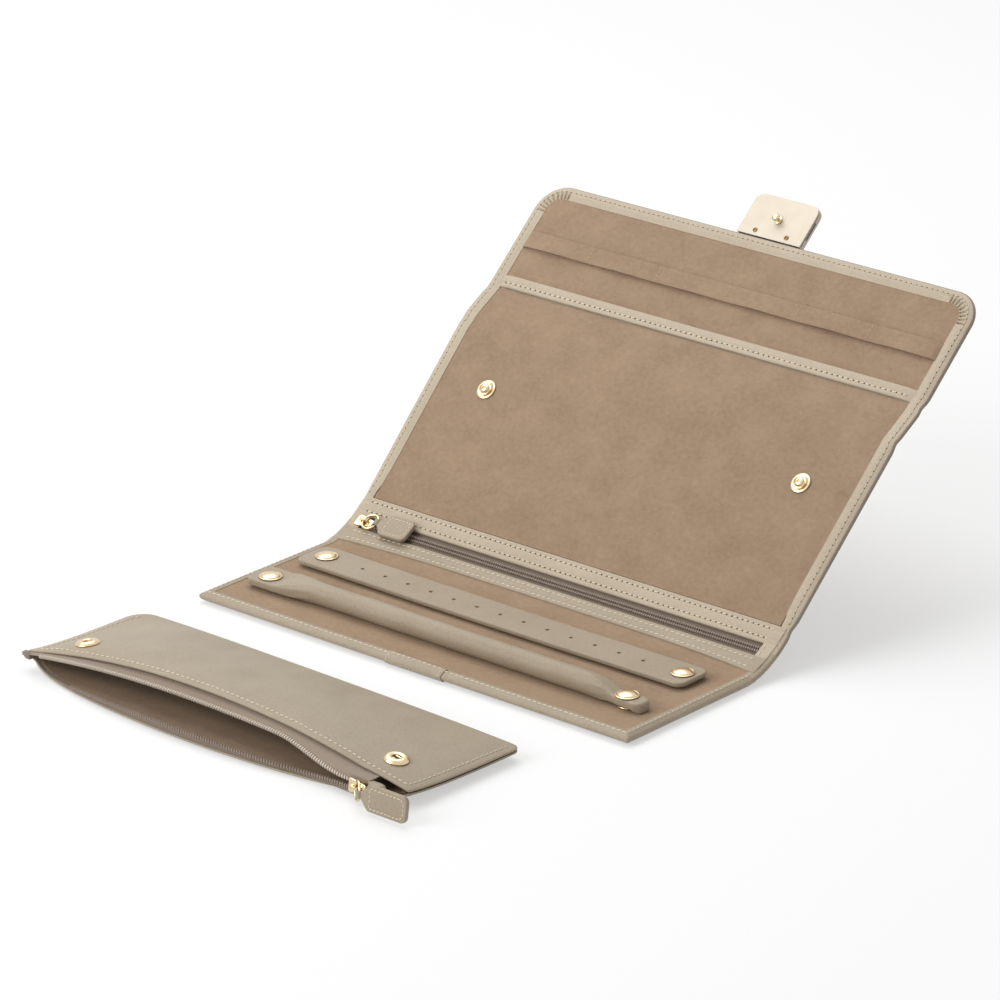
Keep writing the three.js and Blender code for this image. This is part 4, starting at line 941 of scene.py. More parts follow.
# ring bar: a stuffed leather roll drawn flat at its ends, with the left end's back edge folded up
def barPoint(x, angle, shrink):
    left = smooth(bar["flatLeft"], bar["flatLeft"] + bar["taper"], x)
    right = smooth(-bar["flatRight"], -bar["flatRight"] + bar["rightTaper"], -x)
    full = min(left, right)
    tip = smooth(bar["end"] - bar["corner"], bar["end"], abs(x))
    droop = smooth(bar["droopFrom"], bar["end"], x)
    pinch = 1 - bar["pinch"] * math.exp(-((x - bar["pinchAt"]) / bar["pinchReach"]) ** 2)
    tab = bar["tabHalf"] if x < 0 else bar["rightTabHalf"]
    wide = (tab + (bar["radius"] - tab) * full ** 2) * (1 - bar["tipNarrow"] * tip) * shrink * pinch
    rounded = bar["tab"] / 2 + (bar["radius"] - bar["tab"] / 2) * full ** bar["fullPower"]
    tall = rounded * shrink * (1 + bar["swell"] * droop)
    middle = bar["under"] * (1 - full) + rounded - bar["droop"] * droop
    power = bar["squareness"] * (1 - full) + full
    across = math.copysign(abs(math.cos(angle)) ** power, math.cos(angle))
    rise = math.copysign(abs(math.sin(angle)) ** power, math.sin(angle))
    turning = 4 * full * (1 - full)
    crease = bar["pucker"] * turning * math.cos(angle * bar["creases"] + x * bar["creaseLean"])
    lump = bar["lump"] * full * lumps(x / bar["lumpSpan"], math.cos(angle), math.sin(angle))
    fold = smooth(bar["backFrom"], 1, across) * (1 - full) * (1 - tip) if x < 0 else 0
    return rollPoint(x, bar["s"] + (wide + crease + lump) * across + bar["backHalf"] * fold,
                     middle + (tall + crease + lump) * rise + bar["backRise"] * fold * smooth(-1, 1, rise))


def ringBar():
    bm = bmesh.new()
    bmesh.ops.create_cone(bm, cap_ends=True, segments=bar["sides"], radius1=1, radius2=1, depth=2 * bar["end"],
                          matrix=Matrix.Rotation(math.pi / 2, 4, "Y"))
    ends = mirrored([bar["end"] - gap for gap in bar["endSteps"]])
    cutMesh(bm, 0, sorted(set(ends + spread(-bar["end"], bar["end"], bar["step"]))))
    for cap in [face for face in bm.faces if len(face.verts) > 4]:
        bmesh.ops.inset_region(bm, faces=[cap], thickness=bar["capInset"])

    def stuffed(x, y, z):
        short = 1 - min(1, (bar["end"] - abs(x)) / bar["endRound"])
        shrink = math.sqrt(max(0, 1 - short ** 2)) * bar["endShare"] + 1 - bar["endShare"]
        return barPoint(x, math.atan2(z, y), shrink * math.hypot(y, z))

    bendMesh(bm, stuffed)
    bmesh.ops.recalc_face_normals(bm, faces=bm.faces)
    piece = addPiece("ring_bar_roll", bm, [leather], stands=["ring_bar", "ring_bar_anchor"],
                     sharp=bar["sharp"])
    bendLifted(piece, bar)


# earring strap: two layers of leather with punched holes
def earringStrap():
    left, right = strap["ends"]
    middle, half, free = strap["s"], strap["half"], strap["free"]
    ends = [end + gap * inward for end, inward in ((left, 1), (right, -1)) for gap in strap["endSteps"]]
    sides = mirrored([half - gap for gap in strap["endSteps"][1:]])
    bm = softSlab((left, middle - half, strap["under"]), (right, middle + half, strap["under"] + strap["thickness"]),
                  strap["edge"], sorted(ends + spread(left + strap["margin"], right - strap["margin"], strap["step"])),
                  sorted([middle] + [middle + side for side in sides]), strap["rimSegments"])
    spanX, spanS = strap["waveSpan"]

    def strapPoint(x, s, h):
        for side in (-1, 1):
            for end, inward in ((left, 1), (right, -1)):
                x, s = roundPlan(x, s, end, middle + side * half, strap["corner"], inward, -side)
        sag = strap["sag"] * max(0, 1 - (x / free) ** 2)
        wave = strap["wave"] * lumps(x / spanX, s / spanS, 5.1)
        return rollPoint(x, s, h - sag + wave * smooth(0, strap["calm"], free - abs(x)))

    bendMesh(bm, strapPoint)
    piece = addPiece("earring_strap_band", bm, [leather],
                     stands=["earring_strap", "earring_strap_anchor"])
    cutter = bmesh.new()
    for i in range(strap["holes"]):
        x = (i - (strap["holes"] - 1) / 2) * strap["pitch"]
        seat = Matrix.Translation(rollPoint(x, middle, strap["under"] + strap["punchAt"]))
        bmesh.ops.create_cone(cutter, cap_ends=True, segments=strap["punchSides"], radius1=strap["hole"] * mm,
                              radius2=strap["hole"] * mm, depth=strap["punch"] * mm, matrix=seat)
    carve(piece, meshOf(cutter, "punch"))
    bendLifted(piece, strap)


ringBar()
earringStrap()
print("ring bar and earring strap made")


# catch tab: a strap of leather wrapped round the front edge, bored for the catch under the panel
catchTab = {"x": 3, "half": 15.5, "over": 5.3, "lift": 0.5, "thickness": 0.9, "tail": 71.8, "edge": 0.2,
            "topSteps": (4.2, 3.4, 2.6, 1.9, 1.3),
            "nose": [(0.75, -0.2), (0.15, -0.59), (-0.29, -1.05), (-0.5, -1.6), (-0.5, -1.95), (-0.34, -2.44),
                     (0.1, -3.12), (0.67, -3.69), (1.25, -4.08)],
            "under": 2, "set": 0.02, "cuts": (-14.9, -13, 0, 13, 14.9), "line": 1.5, "sideFrom": 0.7, "sideRow": 4,
            "probe": 0.1, "boreRoom": 0.1, "boreBelow": 4, "boreSides": 48}


def catchBore():
    low, high = (Vector(corner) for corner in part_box("catch_socket"))
    room, below = catchTab["boreRoom"] * mm, catchTab["boreBelow"] * mm
    centre = (low + high) / 2
    centre.z = (high.z + room + low.z - below) / 2
    radius = (high.x - low.x) / 2 + room
    bm = bmesh.new()
    bmesh.ops.create_cone(bm, cap_ends=True, segments=catchTab["boreSides"], radius1=radius, radius2=radius,
                          depth=high.z + room - low.z + below, matrix=Matrix.Translation(centre))
    return meshOf(bm, "bore")


def catchTabPiece():
    floor = catchTab["set"] - slabDepth
    path = [(s, skinHeight(0, s, 0) + catchTab["lift"]) for s in (catchTab["over"], *catchTab["topSteps"])]
    path += catchTab["nose"] + [(catchTab["under"], floor), (catchTab["tail"], floor)]
    left, right = catchTab["x"] - catchTab["half"], catchTab["x"] + catchTab["half"]
    bm = bmesh.new()
    verts = [bm.verts.new((left, s, h)) for s, h in path]
    edges = [bm.edges.new(pair) for pair in zip(verts, verts[1:])]
    made = bmesh.ops.extrude_edge_only(bm, edges=edges)
    far = [item for item in made["geom"] if isinstance(item, bmesh.types.BMVert)]
    bmesh.ops.translate(bm, vec=(right - left, 0, 0), verts=far)
    cutMesh(bm, 0, [catchTab["x"] + gap for gap in catchTab["cuts"]])
    bmesh.ops.recalc_face_normals(bm, faces=bm.faces)
    if sum(face.normal.z * face.calc_area() for face in bm.faces if face.calc_center_median().z > 0) < 0:
        bmesh.ops.reverse_faces(bm, faces=bm.faces)
    bmesh.ops.solidify(bm, geom=bm.faces[:], thickness=catchTab["thickness"])
    roundRims(bm, catchTab["edge"])
    bendMesh(bm, rollPoint)
    piece = addPiece("catch_tab_wrap", bm, [leather, thread], "front_panel", ["catch_tab"])
    carve(piece, catchBore())
    outer, probe = [Vector(point) for point in path], catchTab["probe"]

    def overEdge(x, distance, h):   # along the wrap, from its upper end round the front edge
        ahead = (walk(outer, distance + probe) - walk(outer, distance - probe)).normalized()
        return rollPoint(x, *(walk(outer, distance) + Vector((ahead.y, -ahead.x)) * h))

    bm = bmesh.new()
    bm.from_mesh(piece.data)
    line = catchTab["over"] - leatherStrip["frontLine"]
    side = line + catchTab["sideFrom"]
    left, right = left + catchTab["line"], right - catchTab["line"]
    sewRow(bm, [(left, line, 0), (right, line, 0)], overEdge)
    for x in (left, right):
        sewRow(bm, [(x, side, 0), (x, side + catchTab["sideRow"], 0)], overEdge, pullStitch)
    bm.to_mesh(piece.data)
    bm.free()
    shadeSoft(piece.data)
    length = catchTab["over"] + slabDepth + catchTab["tail"]
    length * mm


catchTabPiece()
print("catch tab made")


# back panel: studs that the pouch snaps onto
pouchStud = {"x": 86, "s": 62, "foot": 0.05, "sunk": 0.3, "radius": 4.5, "rim": 0.6, "neck": 1.8, "ball": 2.2,
             "crown": 1.5, "top": 2.45}


def pouchStudPiece(name, side):
    radius, neck, ball, crown, top = (pouchStud[key] for key in ("radius", "neck", "ball", "crown", "top"))
    foot, rim = pouchStud["foot"] - pouchStud["sunk"], pouchStud["foot"] + pouchStud["rim"]
    profile = [(0, foot), (radius - 0.2, foot), (radius, foot + 0.2), (radius, rim - 0.2), (radius - 0.25, rim),
               (radius - 1.1, rim), (radius - 1.3, rim - 0.2), (neck + 0.4, rim - 0.2), (neck, rim + 0.1),
               (neck - 0.1, rim + 0.5), (ball, rim + 1.05), (ball - 0.1, rim + 1.4), (crown, top), (0.7, top + 0.05),
               (0.5, top - 0.4), (0, top - 0.4)]
    place = seatOn(side * pouchStud["x"], foldS["back"] + pouchStud["s"])
    turnedPiece(name + "_post", profile, place, brightGold, "back_panel", [name])


pouchStudPiece("pouch_stud_left", -1)
pouchStudPiece("pouch_stud_right", 1)

# flap: pocket binding, necklace band and clasp
binding = {"from": 0.9, "width": 6.2, "end": 114.6, "top": 0.7, "row": 0.36, "sinkFrom": 111, "sink": 1.3}


def underBorder(x, s, h):
    return rollPoint(x, s, h - binding["sink"] * smooth(binding["sinkFrom"], binding["end"], abs(x)))


# the pocket binding takes the paler copy of the leather: painted sheen
sewnBand("pocket_edge", foldS["flap"] + binding["from"], foldS["flap"] + binding["from"] + binding["width"],
         (binding["row"],), "flap", ["pocket_binding"], binding["end"], sheenPaintedLeather, binding["top"], underBorder, True)

necklace = {"place": 22, "width": 8.5, "end": 114.2, "loops": 6, "rise": 0.55, "slope": 0.45, "sewn": 0.02,
            "thickness": 0.6, "edge": 0.2, "lift": 0.5, "lump": 0.12, "lumpSpan": (9, 7), "hem": 2, "sinkFrom": 110.5,
            "sink": 1.2, "stepX": 1.5, "stepS": 1.2, "rowEnd": 0.4}


def necklaceBand():
    end, width = necklace["end"], necklace["width"]
    pitch = 2 * end / necklace["loops"]
    fromS = foldS["flap"] + necklace["place"]
    spanX, spanS = necklace["lumpSpan"]
    bm = softSlab((-end, fromS, 0), (end, fromS + width, necklace["thickness"]), necklace["edge"],
                  spread(-end, end, necklace["stepX"]), spread(fromS, fromS + width, necklace["stepS"]), 2)

    def bandPoint(x, s, h):
        loop = math.sin(math.pi * smooth(necklace["sewn"], 1 - necklace["sewn"], ((x + end) / pitch) % 1))
        share = (s - fromS) / width
        lump = necklace["lump"] * lumps(x / spanX, s / spanS, 2.2)
        rise = (necklace["rise"] * (1 - necklace["slope"] * share) + lump) * loop
        sink = smooth(necklace["sinkFrom"], end, abs(x))
        return rollPoint(x, s, h + (necklace["lift"] * (1 - share) ** 2 + rise) * (1 - sink) - necklace["sink"] * sink)

    bendMesh(bm, bandPoint)
    for divider in range(1, necklace["loops"]):
        x = -end + divider * pitch
        sewRow(bm, [(x, fromS + necklace["rowEnd"], necklace["thickness"]),
                    (x, fromS + width - necklace["rowEnd"], necklace["thickness"])], bandPoint, pullStitch)
    piece = addPiece("necklace_loops", bm, [suede, suedeThread], "flap", ["necklace_band"])


necklaceBand()

clasp = {"x": 3, "face": -0.8, "sunk": -2, "screwSpan": 17, "screwPlace": 3, "screw": 1.1, "studPlace": 10,
         "neck": 1.1, "head": 1.8, "height": 3.7}


def claspTurned():
    face, sunk, wide = clasp["face"], clasp["sunk"], clasp["screw"]
    screw = [(0, sunk), (0.7, sunk), (0.7, 0.05), (wide, 0.05), (wide, 0.2), (wide - 0.2, 0.36), (0.55, 0.42),
             (0.4, 0.15), (0, 0.15)]
    for side, name in ((-1, "clasp_screw_left"), (1, "clasp_screw_right")):
        place = seatOn(clasp["x"] + side * clasp["screwSpan"] / 2, foldS["end"] + clasp["screwPlace"], face)
        turnedPiece(name + "_head", screw, place, agedGold, "flap", [name], 28)
    neck, head, top = clasp["neck"], clasp["head"], clasp["height"]
    stud = [(0, sunk), (neck, sunk), (neck, 0.1), (head - 0.1, 0.1), (head, 0.25), (head, 0.5), (head - 0.2, 0.65),
            (neck, 0.7), (neck, top - 2), (head - 0.25, top - 1.6), (head, top - 1.1), (head - 0.05, top - 0.6),
            (1.2, top - 0.15), (0.8, top), (0, top)]
    place = seatOn(clasp["x"], foldS["end"] + clasp["studPlace"], face)
    turnedPiece("clasp_stud_post", stud, place, brightGold, "flap", ["clasp_stud"], 36)


claspTurned()
print("flap made")


# zip pulls: a wire ring and a sewn leather tab, on both zips
pull = {"ring": 3.8, "wire": 0.55, "wireSides": 14, "ringSteps": 48, "bore": 1.0, "sleeve": 1.55, "sleeveHalf": 1.5,
        "sleeveSteps": 24, "half": 5.5, "thickness": 2.0, "from": 0.2, "corner": 2.8, "shoulder": 4.6, "edge": 0.5,
        "stepX": 0.7, "stepY": 0.55, "line": 1.5, "lineCorner": 1.4, "lineFrom": 0.3, "rowSet": 0.02, "puff": 0.14,
        "puffFrom": (1.8, 3.2)}


def jointPlace(name):
    return Vector(joints[name]["pos_m"])


def hingeAxes(ringJoint, pullJoint, pullTurn):
    origin = jointPlace(ringJoint)
    along = (jointPlace(pullJoint) - origin).normalized()
    across = Vector(joints[pullJoint]["axis"]).normalized()
    out = along.cross(across)
    turn = math.radians(pullTurn)
    tabAlong = along * math.cos(turn) - out * math.sin(turn)
    return (Matrix.Translation(origin) @ columns(along, across, out),
            Matrix.Translation(jointPlace(pullJoint)) @ columns(tabAlong, across, tabAlong.cross(across)))


def fullSpin(bm, verts, axis, steps):
    edges = list({edge for vert in verts for edge in vert.link_edges})
    bmesh.ops.spin(bm, geom=verts + edges, cent=(0, 0, 0), axis=axis, angle=2 * math.pi, steps=steps, use_merge=True)


def pullRing(name, matrix, body, stands):
    bm = bmesh.new()
    wire = Matrix.Translation((pull["ring"], 0, 0)) @ Matrix.Rotation(math.pi / 2, 4, "X")
    made = bmesh.ops.create_circle(bm, segments=pull["wireSides"], radius=pull["wire"], matrix=wire)
    fullSpin(bm, made["verts"], (0, 0, 1), pull["ringSteps"])
    bmesh.ops.remove_doubles(bm, verts=bm.verts, dist=cutNear)
    bmesh.ops.recalc_face_normals(bm, faces=bm.faces)
    bendMesh(bm, lambda x, y, z: matrix @ (Vector((x + pull["ring"], y, z)) * mm))
    addPiece(name, bm, [brightGold], body, [stands])


def pullTab(name, matrix, length, body, stands):
    start, half = pull["bore"] + pull["from"], pull["half"]
    face = pull["thickness"] / 2
    bm = softSlab((start, -half, -face), (length, half, face), pull["edge"],
                  spread(start, length, pull["stepX"]), spread(-half, half, pull["stepY"]))

    def place(x, y, z):
        return matrix @ (Vector((x, y, z)) * mm)

    def tabPoint(x, y, z):
        for side in (-1, 1):
            x, y = roundPlan(x, y, length, side * half, pull["corner"], -1, -side)
        neck = smooth(start, start + pull["shoulder"], x)
        y *= (pull["sleeveHalf"] + (half - pull["sleeveHalf"]) * neck) / half
        rimGap = min(half - abs(y), length - x)
        return place(x, y, z * (1 + pull["puff"] * smooth(*pull["puffFrom"], rimGap) * neck))

    bendMesh(bm, tabPoint)
    near, far = start + pull["shoulder"] + pull["lineFrom"], length - pull["line"]
    out, turn = half - pull["line"], pull["lineCorner"]
    path = [(near, -out), (far - turn, -out), (far, turn - out), (far, out - turn), (far - turn, out), (near, out),
            (near, -out)]
    for side in (-1, 1):
        sewRow(bm, [(x, y, side * (face + pull["rowSet"])) for x, y in path], place, pullStitch, up=side)
    sleeve = bmesh.ops.create_circle(bm, segments=4, radius=1)["verts"]
    inner, outer, wide = pull["bore"], pull["sleeve"], pull["sleeveHalf"]
    for vert, (radius, y) in zip(sleeve, ((inner, -wide), (outer, -wide), (outer, wide), (inner, wide))):
        vert.co = (radius, y, 0)
    fullSpin(bm, sleeve, (0, 1, 0), pull["sleeveSteps"])
    unplaced = [vert for vert in bm.verts if vert.co.length > inner / 2]   # the sleeve is still in mm
    bmesh.ops.remove_doubles(bm, verts=unplaced, dist=cutNear)
    for vert in unplaced:
        if vert.is_valid:
            vert.co = place(*vert.co)
    bmesh.ops.recalc_face_normals(bm, faces=bm.faces)
    addPiece(name, bm, [leather, thread], body, [stands])


for label, ringNode, tabNode, body, turn, length in (
        ("spine_zip", "zip_ring", "zip_pull_tab", "zip", 2, 19.5),
        ("pouch_zip", "pouch_zip_ring", "pouch_pull_tab", "pouch", 36, 25)):
    ringFrame, tabFrame = hingeAxes(body + "_ring_swing", body + "_pull_swing", turn)
    pullRing(label + "_wire", ringFrame, body + "_loop", ringNode)
    pullTab(label + "_tab", tabFrame, length, body + "_pull", tabNode)
print("zip pulls made")


# pouch: two arched leather walls sewn round three sides, with an open zip mouth in front
pouch = {"x": -13.6, "y": -108, "turn": -1.2, "half": 106, "depth": 65, "skin": 0.9, "edge": 0.28, "seam": 5.3,
         "rise": 3.2, "lift": 2.4, "full": 8.5, "crownFrom": 0.04, "crownSpan": 0.7, "endPower": 3.5,
         "floorPower": 14, "foldPower": 10, "cornerPower": 8, "middle": -10, "mouthHalf": 92, "lipRise": 5.2,
         "setback": 4, "reach": 12, "reachPower": 0.8, "corners": (9, 3.5), "wrinkle": 0.9, "broad": (34, 2.1),
         "small": (11, 4.5), "smallShare": 0.35, "calm": 0.12, "lipCalm": 0.08, "columns": 96, "rows": 36,
         "line": 3.4, "sideLine": 3.6, "lineRise": 0.06, "lineSteps": 60, "sideSteps": 17, "curl": 0.5,
         "curlFrom": 0.9, "sharp": 60, "cut": 78, "shutKeep": 0.45}
pouchTurn = Matrix.Translation((pouch["x"] * mm, pouch["y"] * mm, 0)) @ Matrix.Rotation(
    math.radians(pouch["turn"]), 4, "Z")


def mouthAt(x):
    return max(0.0, 1 - ((x - pouch["middle"]) / pouch["mouthHalf"]) ** 2)


def upperLip(x):
    return -pouch["depth"] / 2 + pouch["setback"] * mouthAt(x)


def lowerLip(x):
    return -pouch["depth"] / 2 - pouch["reach"] * mouthAt(x) ** pouch["reachPower"]


def cornerLift(x, v):
    return pouch["lift"] * (1 - mouthAt(x)) ** 2 * v ** 4


def upperFace(x, v):
    crown = (1 - abs(x / pouch["half"]) ** pouch["endPower"]) * math.sin(
        math.pi * (pouch["crownFrom"] + pouch["crownSpan"] * v))
    return pouch["seam"] + pouch["full"] * crown + pouch["lipRise"] * mouthAt(x) * v * v + cornerLift(x, v)


def lowerFace(x, v):
    outward = abs(x / pouch["half"])
    flat = (1 - outward ** pouch["floorPower"]) * (1 - (1 - v) ** pouch["foldPower"])
    curl = pouch["curl"] * mouthAt(x) * smooth(pouch["curlFrom"], 1, v)
    return pouch["rise"] * (1 - flat) + cornerLift(x, v) * outward ** pouch["cornerPower"] + curl


def crumple(x, v):
    calm = pouch["calm"]
    rim = smooth(0, calm, 1 - abs(x / pouch["half"])) * smooth(0, calm, v) * smooth(0, pouch["lipCalm"], 1 - v)
    (broadX, broadV), (smallX, smallV) = pouch["broad"], pouch["small"]
    broad = lumps(x / broadX, v * broadV, 4.4)
    small = lumps(x / smallX, v * smallV, 8.8)
    return pouch["wrinkle"] * rim * (broad + pouch["smallShare"] * small)


def pouchPoint(x, v, h, upper):
    lip = upperLip(x) if upper else lowerLip(x)
    back = pouch["depth"] / 2
    y = back - v * (back - lip)
    face = upperFace(x, v) + crumple(x, v) + h if upper else lowerFace(x, v) - h
    for side, radius in zip((-1, 1), pouch["corners"]):
        x, y = roundPlan(x, y, side * pouch["half"], back, radius, -side, -1)
    return pouchTurn @ (Vector((x, y, face)) * mm)


# rows on the pouch run in its own plan, where depth is a share and not a length
def sewLong(bm, path, place):
    points = [place(*point) / mm for point in path]
    length = [0.0]
    for start, end in zip(points, points[1:]):
        length.append(length[-1] + (end - start).length)

    def onPath(distance, across, rise):
        leg = max(1, min(len(path) - 1, sum(mark < distance for mark in length)))
        share = (distance - length[leg - 1]) / max(1e-6, length[leg] - length[leg - 1])
        x, v, h = Vector(path[leg - 1]).lerp(Vector(path[leg]), share)
        return place(x, v, h + rise)

    sewRow(bm, [(0, 0, 0), (length[-1], 0, 0)], onPath)


def pouchGrid(look, place):
    bm = bmesh.new()
    bmesh.ops.create_grid(bm, x_segments=look["columns"], y_segments=look["rows"], size=1)
    bendMesh(bm, lambda x, y, z: place(x, (y + 1) / 2))
    return bm


def pouchWall(name, upper, stands):
    half = pouch["half"]
    bm = pouchGrid(pouch, lambda x, v: pouchPoint(x * half, v, 0, upper))
    turnFaces(bm, upper)
    bmesh.ops.solidify(bm, geom=bm.faces[:], thickness=pouch["skin"] * mm)
    roundRims(bm, pouch["edge"] * mm)
    place = lambda x, v, h: pouchPoint(x, v, h, upper)
    share = 1 - pouch["line"] / pouch["depth"]
    side = half - pouch["sideLine"]
    rise, across, along = pouch["lineRise"], pouch["lineSteps"], pouch["sideSteps"]
    sewLong(bm, [(-side + 2 * side * i / across, share, rise) for i in range(across + 1)], place)
    for x in (-side, side):
        sewLong(bm, [(x, share * (i + 1) / along, rise) for i in range(along)], place)
    piece = addPiece(name, bm, [leather, thread], "pouch", [stands], sharp=pouch["sharp"])
    return piece


# pieces of the upper wall and the mouth each get a mesh of their own
def shut(piece):
    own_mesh(piece)


upperWall = pouchWall("pouch_top_wall", True, "pouch_upper_leather")
pouchWall("pouch_floor_wall", False, "pouch_lower_leather")

pouchSuede = {"margin": 4, "reach": 1.6, "set": 1.15, "thickness": 0.5, "columns": 48, "rows": 14}


def pouchSuedePiece(name, upper, stands):
    half = pouch["half"] - pouchSuede["margin"]
    margin = pouchSuede["margin"] / pouch["depth"]
    bm = pouchGrid(pouchSuede, lambda x, v: pouchPoint(
        x * half, margin + v * (1 - pouchSuede["reach"] * margin), -pouchSuede["set"], upper))
    turnFaces(bm, not upper)
    bmesh.ops.solidify(bm, geom=bm.faces[:], thickness=-pouchSuede["thickness"] * mm)
    # the pouch's inside takes the darker suede copy: painted shade
    piece = addPiece(name, bm, [shadePaintedPouchSuede], "pouch", [stands])
    return piece


topSuede = pouchSuedePiece("pouch_top_suede", True, "pouch_upper_lining")
pouchSuedePiece("pouch_floor_suede", False, "pouch_lower_lining")
shut(upperWall)
shut(topSuede)

# pouch zip: tapes that follow the lips and come together at the slider
pouchZip = {"sliderX": 85.6, "sliderHalf": 4.5, "sliderRoom": 0.25, "ahead": 5.5, "height": 5.4, "lean": 8,
            "turn": 46, "tuck": 7.2, "reach": 3, "drop": 3.2, "stand": 2.5, "standPower": 1.5, "fold": 0.9,
            "seat": 0.08, "kneeAt": 0.6, "tapeHalf": 3.4, "tapeEdge": 2.15, "tape": 0.4, "width": 10.2, "bow": 0.4,
            "columns": 90, "rows": 10, "coilStart": 6, "lowCoilStart": 28, "toothPitch": 1.35,
            "tooth": (0.58, 1.1, 0.85), "toothSides": 8, "toothSet": 0.6, "toothOut": 0.3, "lowKeep": 0.97}
zipCentreY = -pouch["depth"] / 2 - pouchZip["ahead"]


# across the tape: where it is sewn in, where it bends over the lip, and its free edge
def tapeAt(x, upper):
    sliderEnd = pouchZip["sliderX"] - pouchZip["sliderHalf"]
    closing = smooth(sliderEnd - pouchZip["turn"], sliderEnd, x)
    lip = upperLip(x) if upper else lowerLip(x)
    tucked = 1 - pouchZip["tuck"] / (pouch["depth"] / 2 - lip)
    inset = pouch["skin"] + pouchZip["seat"]
    height = (lambda v: upperFace(x, v) - inset) if upper else (lambda v: lowerFace(x, v) + inset)
    root = Vector((x, lip + pouchZip["tuck"], height(tucked)))
    if upper:
        tip = Vector((x, lip - pouchZip["reach"], height(1) - pouchZip["drop"] * mouthAt(x)))
        knee = root.lerp(tip, pouchZip["kneeAt"])
    else:
        knee = Vector((x, lip + pouchZip["fold"], height(1)))
        tip = knee + Vector((0, -pouchZip["fold"] / 2, pouchZip["stand"] * mouthAt(x) ** pouchZip["standPower"]))
    lean = math.radians(pouchZip["lean"])
    centre = Vector((x, zipCentreY, pouchZip["height"]))
    rise = Vector((0, math.sin(lean), math.cos(lean))) * (1 if upper else -1)
    knee = knee.lerp(centre + rise * pouchZip["tapeHalf"], closing)
    return root, knee, tip.lerp(centre + rise * pouchZip["tapeEdge"], closing)


def pouchTapePiece(name, upper, stands):
    fromX = pouch["middle"] - pouch["mouthHalf"]
    toX = pouchZip["sliderX"] + pouchZip["sliderHalf"] + pouchZip["sliderRoom"]
    bend = pouchZip["kneeAt"]

    def tapePoint(along, share):
        root, knee, tip = tapeAt(fromX + (toX - fromX) * (along + 1) / 2, upper)
        place = root.lerp(knee, share / bend) if share < bend else knee.lerp(tip, (share - bend) / (1 - bend))
        if upper:
            place.z += pouchZip["bow"] * math.sin(math.pi * share) * mouthAt(place.x)
        return pouchTurn @ (place * mm)

    bm = pouchGrid(pouchZip, tapePoint)
    bmesh.ops.recalc_face_normals(bm, faces=bm.faces)
    bmesh.ops.solidify(bm, geom=bm.faces[:], thickness=pouchZip["tape"] * mm)
    # the upper tape takes the paler tape copy: painted light
    piece = addPiece(name, bm, [pouchTape if upper else zipTape], "pouch", [stands])
    return piece


def pouchTeeth(name, upper, stands):
    fromX = pouch["middle"] - pouch["mouthHalf"] + pouchZip["coilStart" if upper else "lowCoilStart"]
    toX = pouchZip["sliderX"] - pouchZip["sliderHalf"] - pouchZip["sliderRoom"]
    wide, deep, tall = (size * mm for size in pouchZip["tooth"])
    seats = []
    for i in range(round((toX - fromX) / pouchZip["toothPitch"])):
        x = fromX + (i + 0.5) * pouchZip["toothPitch"]
        _, knee, tip = tapeAt(x, upper)
        across = (tip - knee).normalized()
        ahead = (tapeAt(x + 1, upper)[2] - tip).normalized()
        out = ahead.cross(across).normalized()
        ahead = across.cross(out)
        seat = tip + across * pouchZip["toothSet"] + out * pouchZip["toothOut"] * (-1 if upper else 1)
        axes = columns(ahead * wide, across * deep, out * tall)
        seats.append(pouchTurn @ Matrix.Translation(seat * mm) @ axes)
    bm = bmesh.new()
    scatter(bm, seats, 0, pouchZip["toothSides"])
    bmesh.ops.recalc_face_normals(bm, faces=bm.faces)
    # the upper coil takes the paler coil copy: painted light
    return addPiece(name, bm, [lightPaintedPouchCoil if upper else coilNylon], "pouch", [stands])


for level, keep in (("upper", pouch["shutKeep"]), ("lower", pouchZip["lowKeep"])):
    shut(pouchTapePiece("pouch_tape_" + level + "_strip", level == "upper", "pouch_tape_" + level))
    shut(pouchTeeth("pouch_teeth_" + level, level == "upper", "pouch_coil_" + level))

endTab = {"from": 5, "length": 7.5, "half": 3.5, "thick": 2, "edge": 0.6, "corner": 2, "thin": 0.35, "thinFrom": 3,
          "line": 1.6, "lineEnd": 0.6, "step": 0.8}


def endTabPiece():
    seat = pouchTurn @ Matrix.Translation(Vector((pouchZip["sliderX"], zipCentreY, pouchZip["height"])) * mm)
    seat = seat @ Matrix.Rotation(math.radians(90 - pouchZip["lean"]), 4, "X")
    half, thick, step = endTab["half"], endTab["thick"], endTab["step"]
    start, end = endTab["from"], endTab["from"] + endTab["length"]
    bm = softSlab((start, -half, -thick), (end, half, thick), endTab["edge"], spread(start, end, step),
                  spread(-half, half, step))

    def place(x, y, z):
        return seat @ (Vector((x, y, z)) * mm)

    def tabPoint(x, y, z):
        for side in (-1, 1):
            x, y = roundPlan(x, y, end, side * half, endTab["corner"], -1, -side)
        return place(x, y, z * (1 - endTab["thin"] * smooth(start + endTab["thinFrom"], end, x)))

    bendMesh(bm, tabPoint)
    line, reach = start + endTab["line"], half - endTab["lineEnd"]
    for side in (-1, 1):
        sewRow(bm, [(line, -reach, side * thick), (line, reach, side * thick)], place, pullStitch, up=side)
    addPiece("pouch_zip_end", bm, [leather, thread], "pouch", ["pouch_zip_end_tab"])


endTabPiece()

# the tape's folded end, at the other end of the mouth
stub = {"low": (-108, -35.2, 4.8), "high": (-102.5, -32.8, 7.6), "edge": 0.7, "tip": 2, "swing": 1.2, "thin": 0.3}


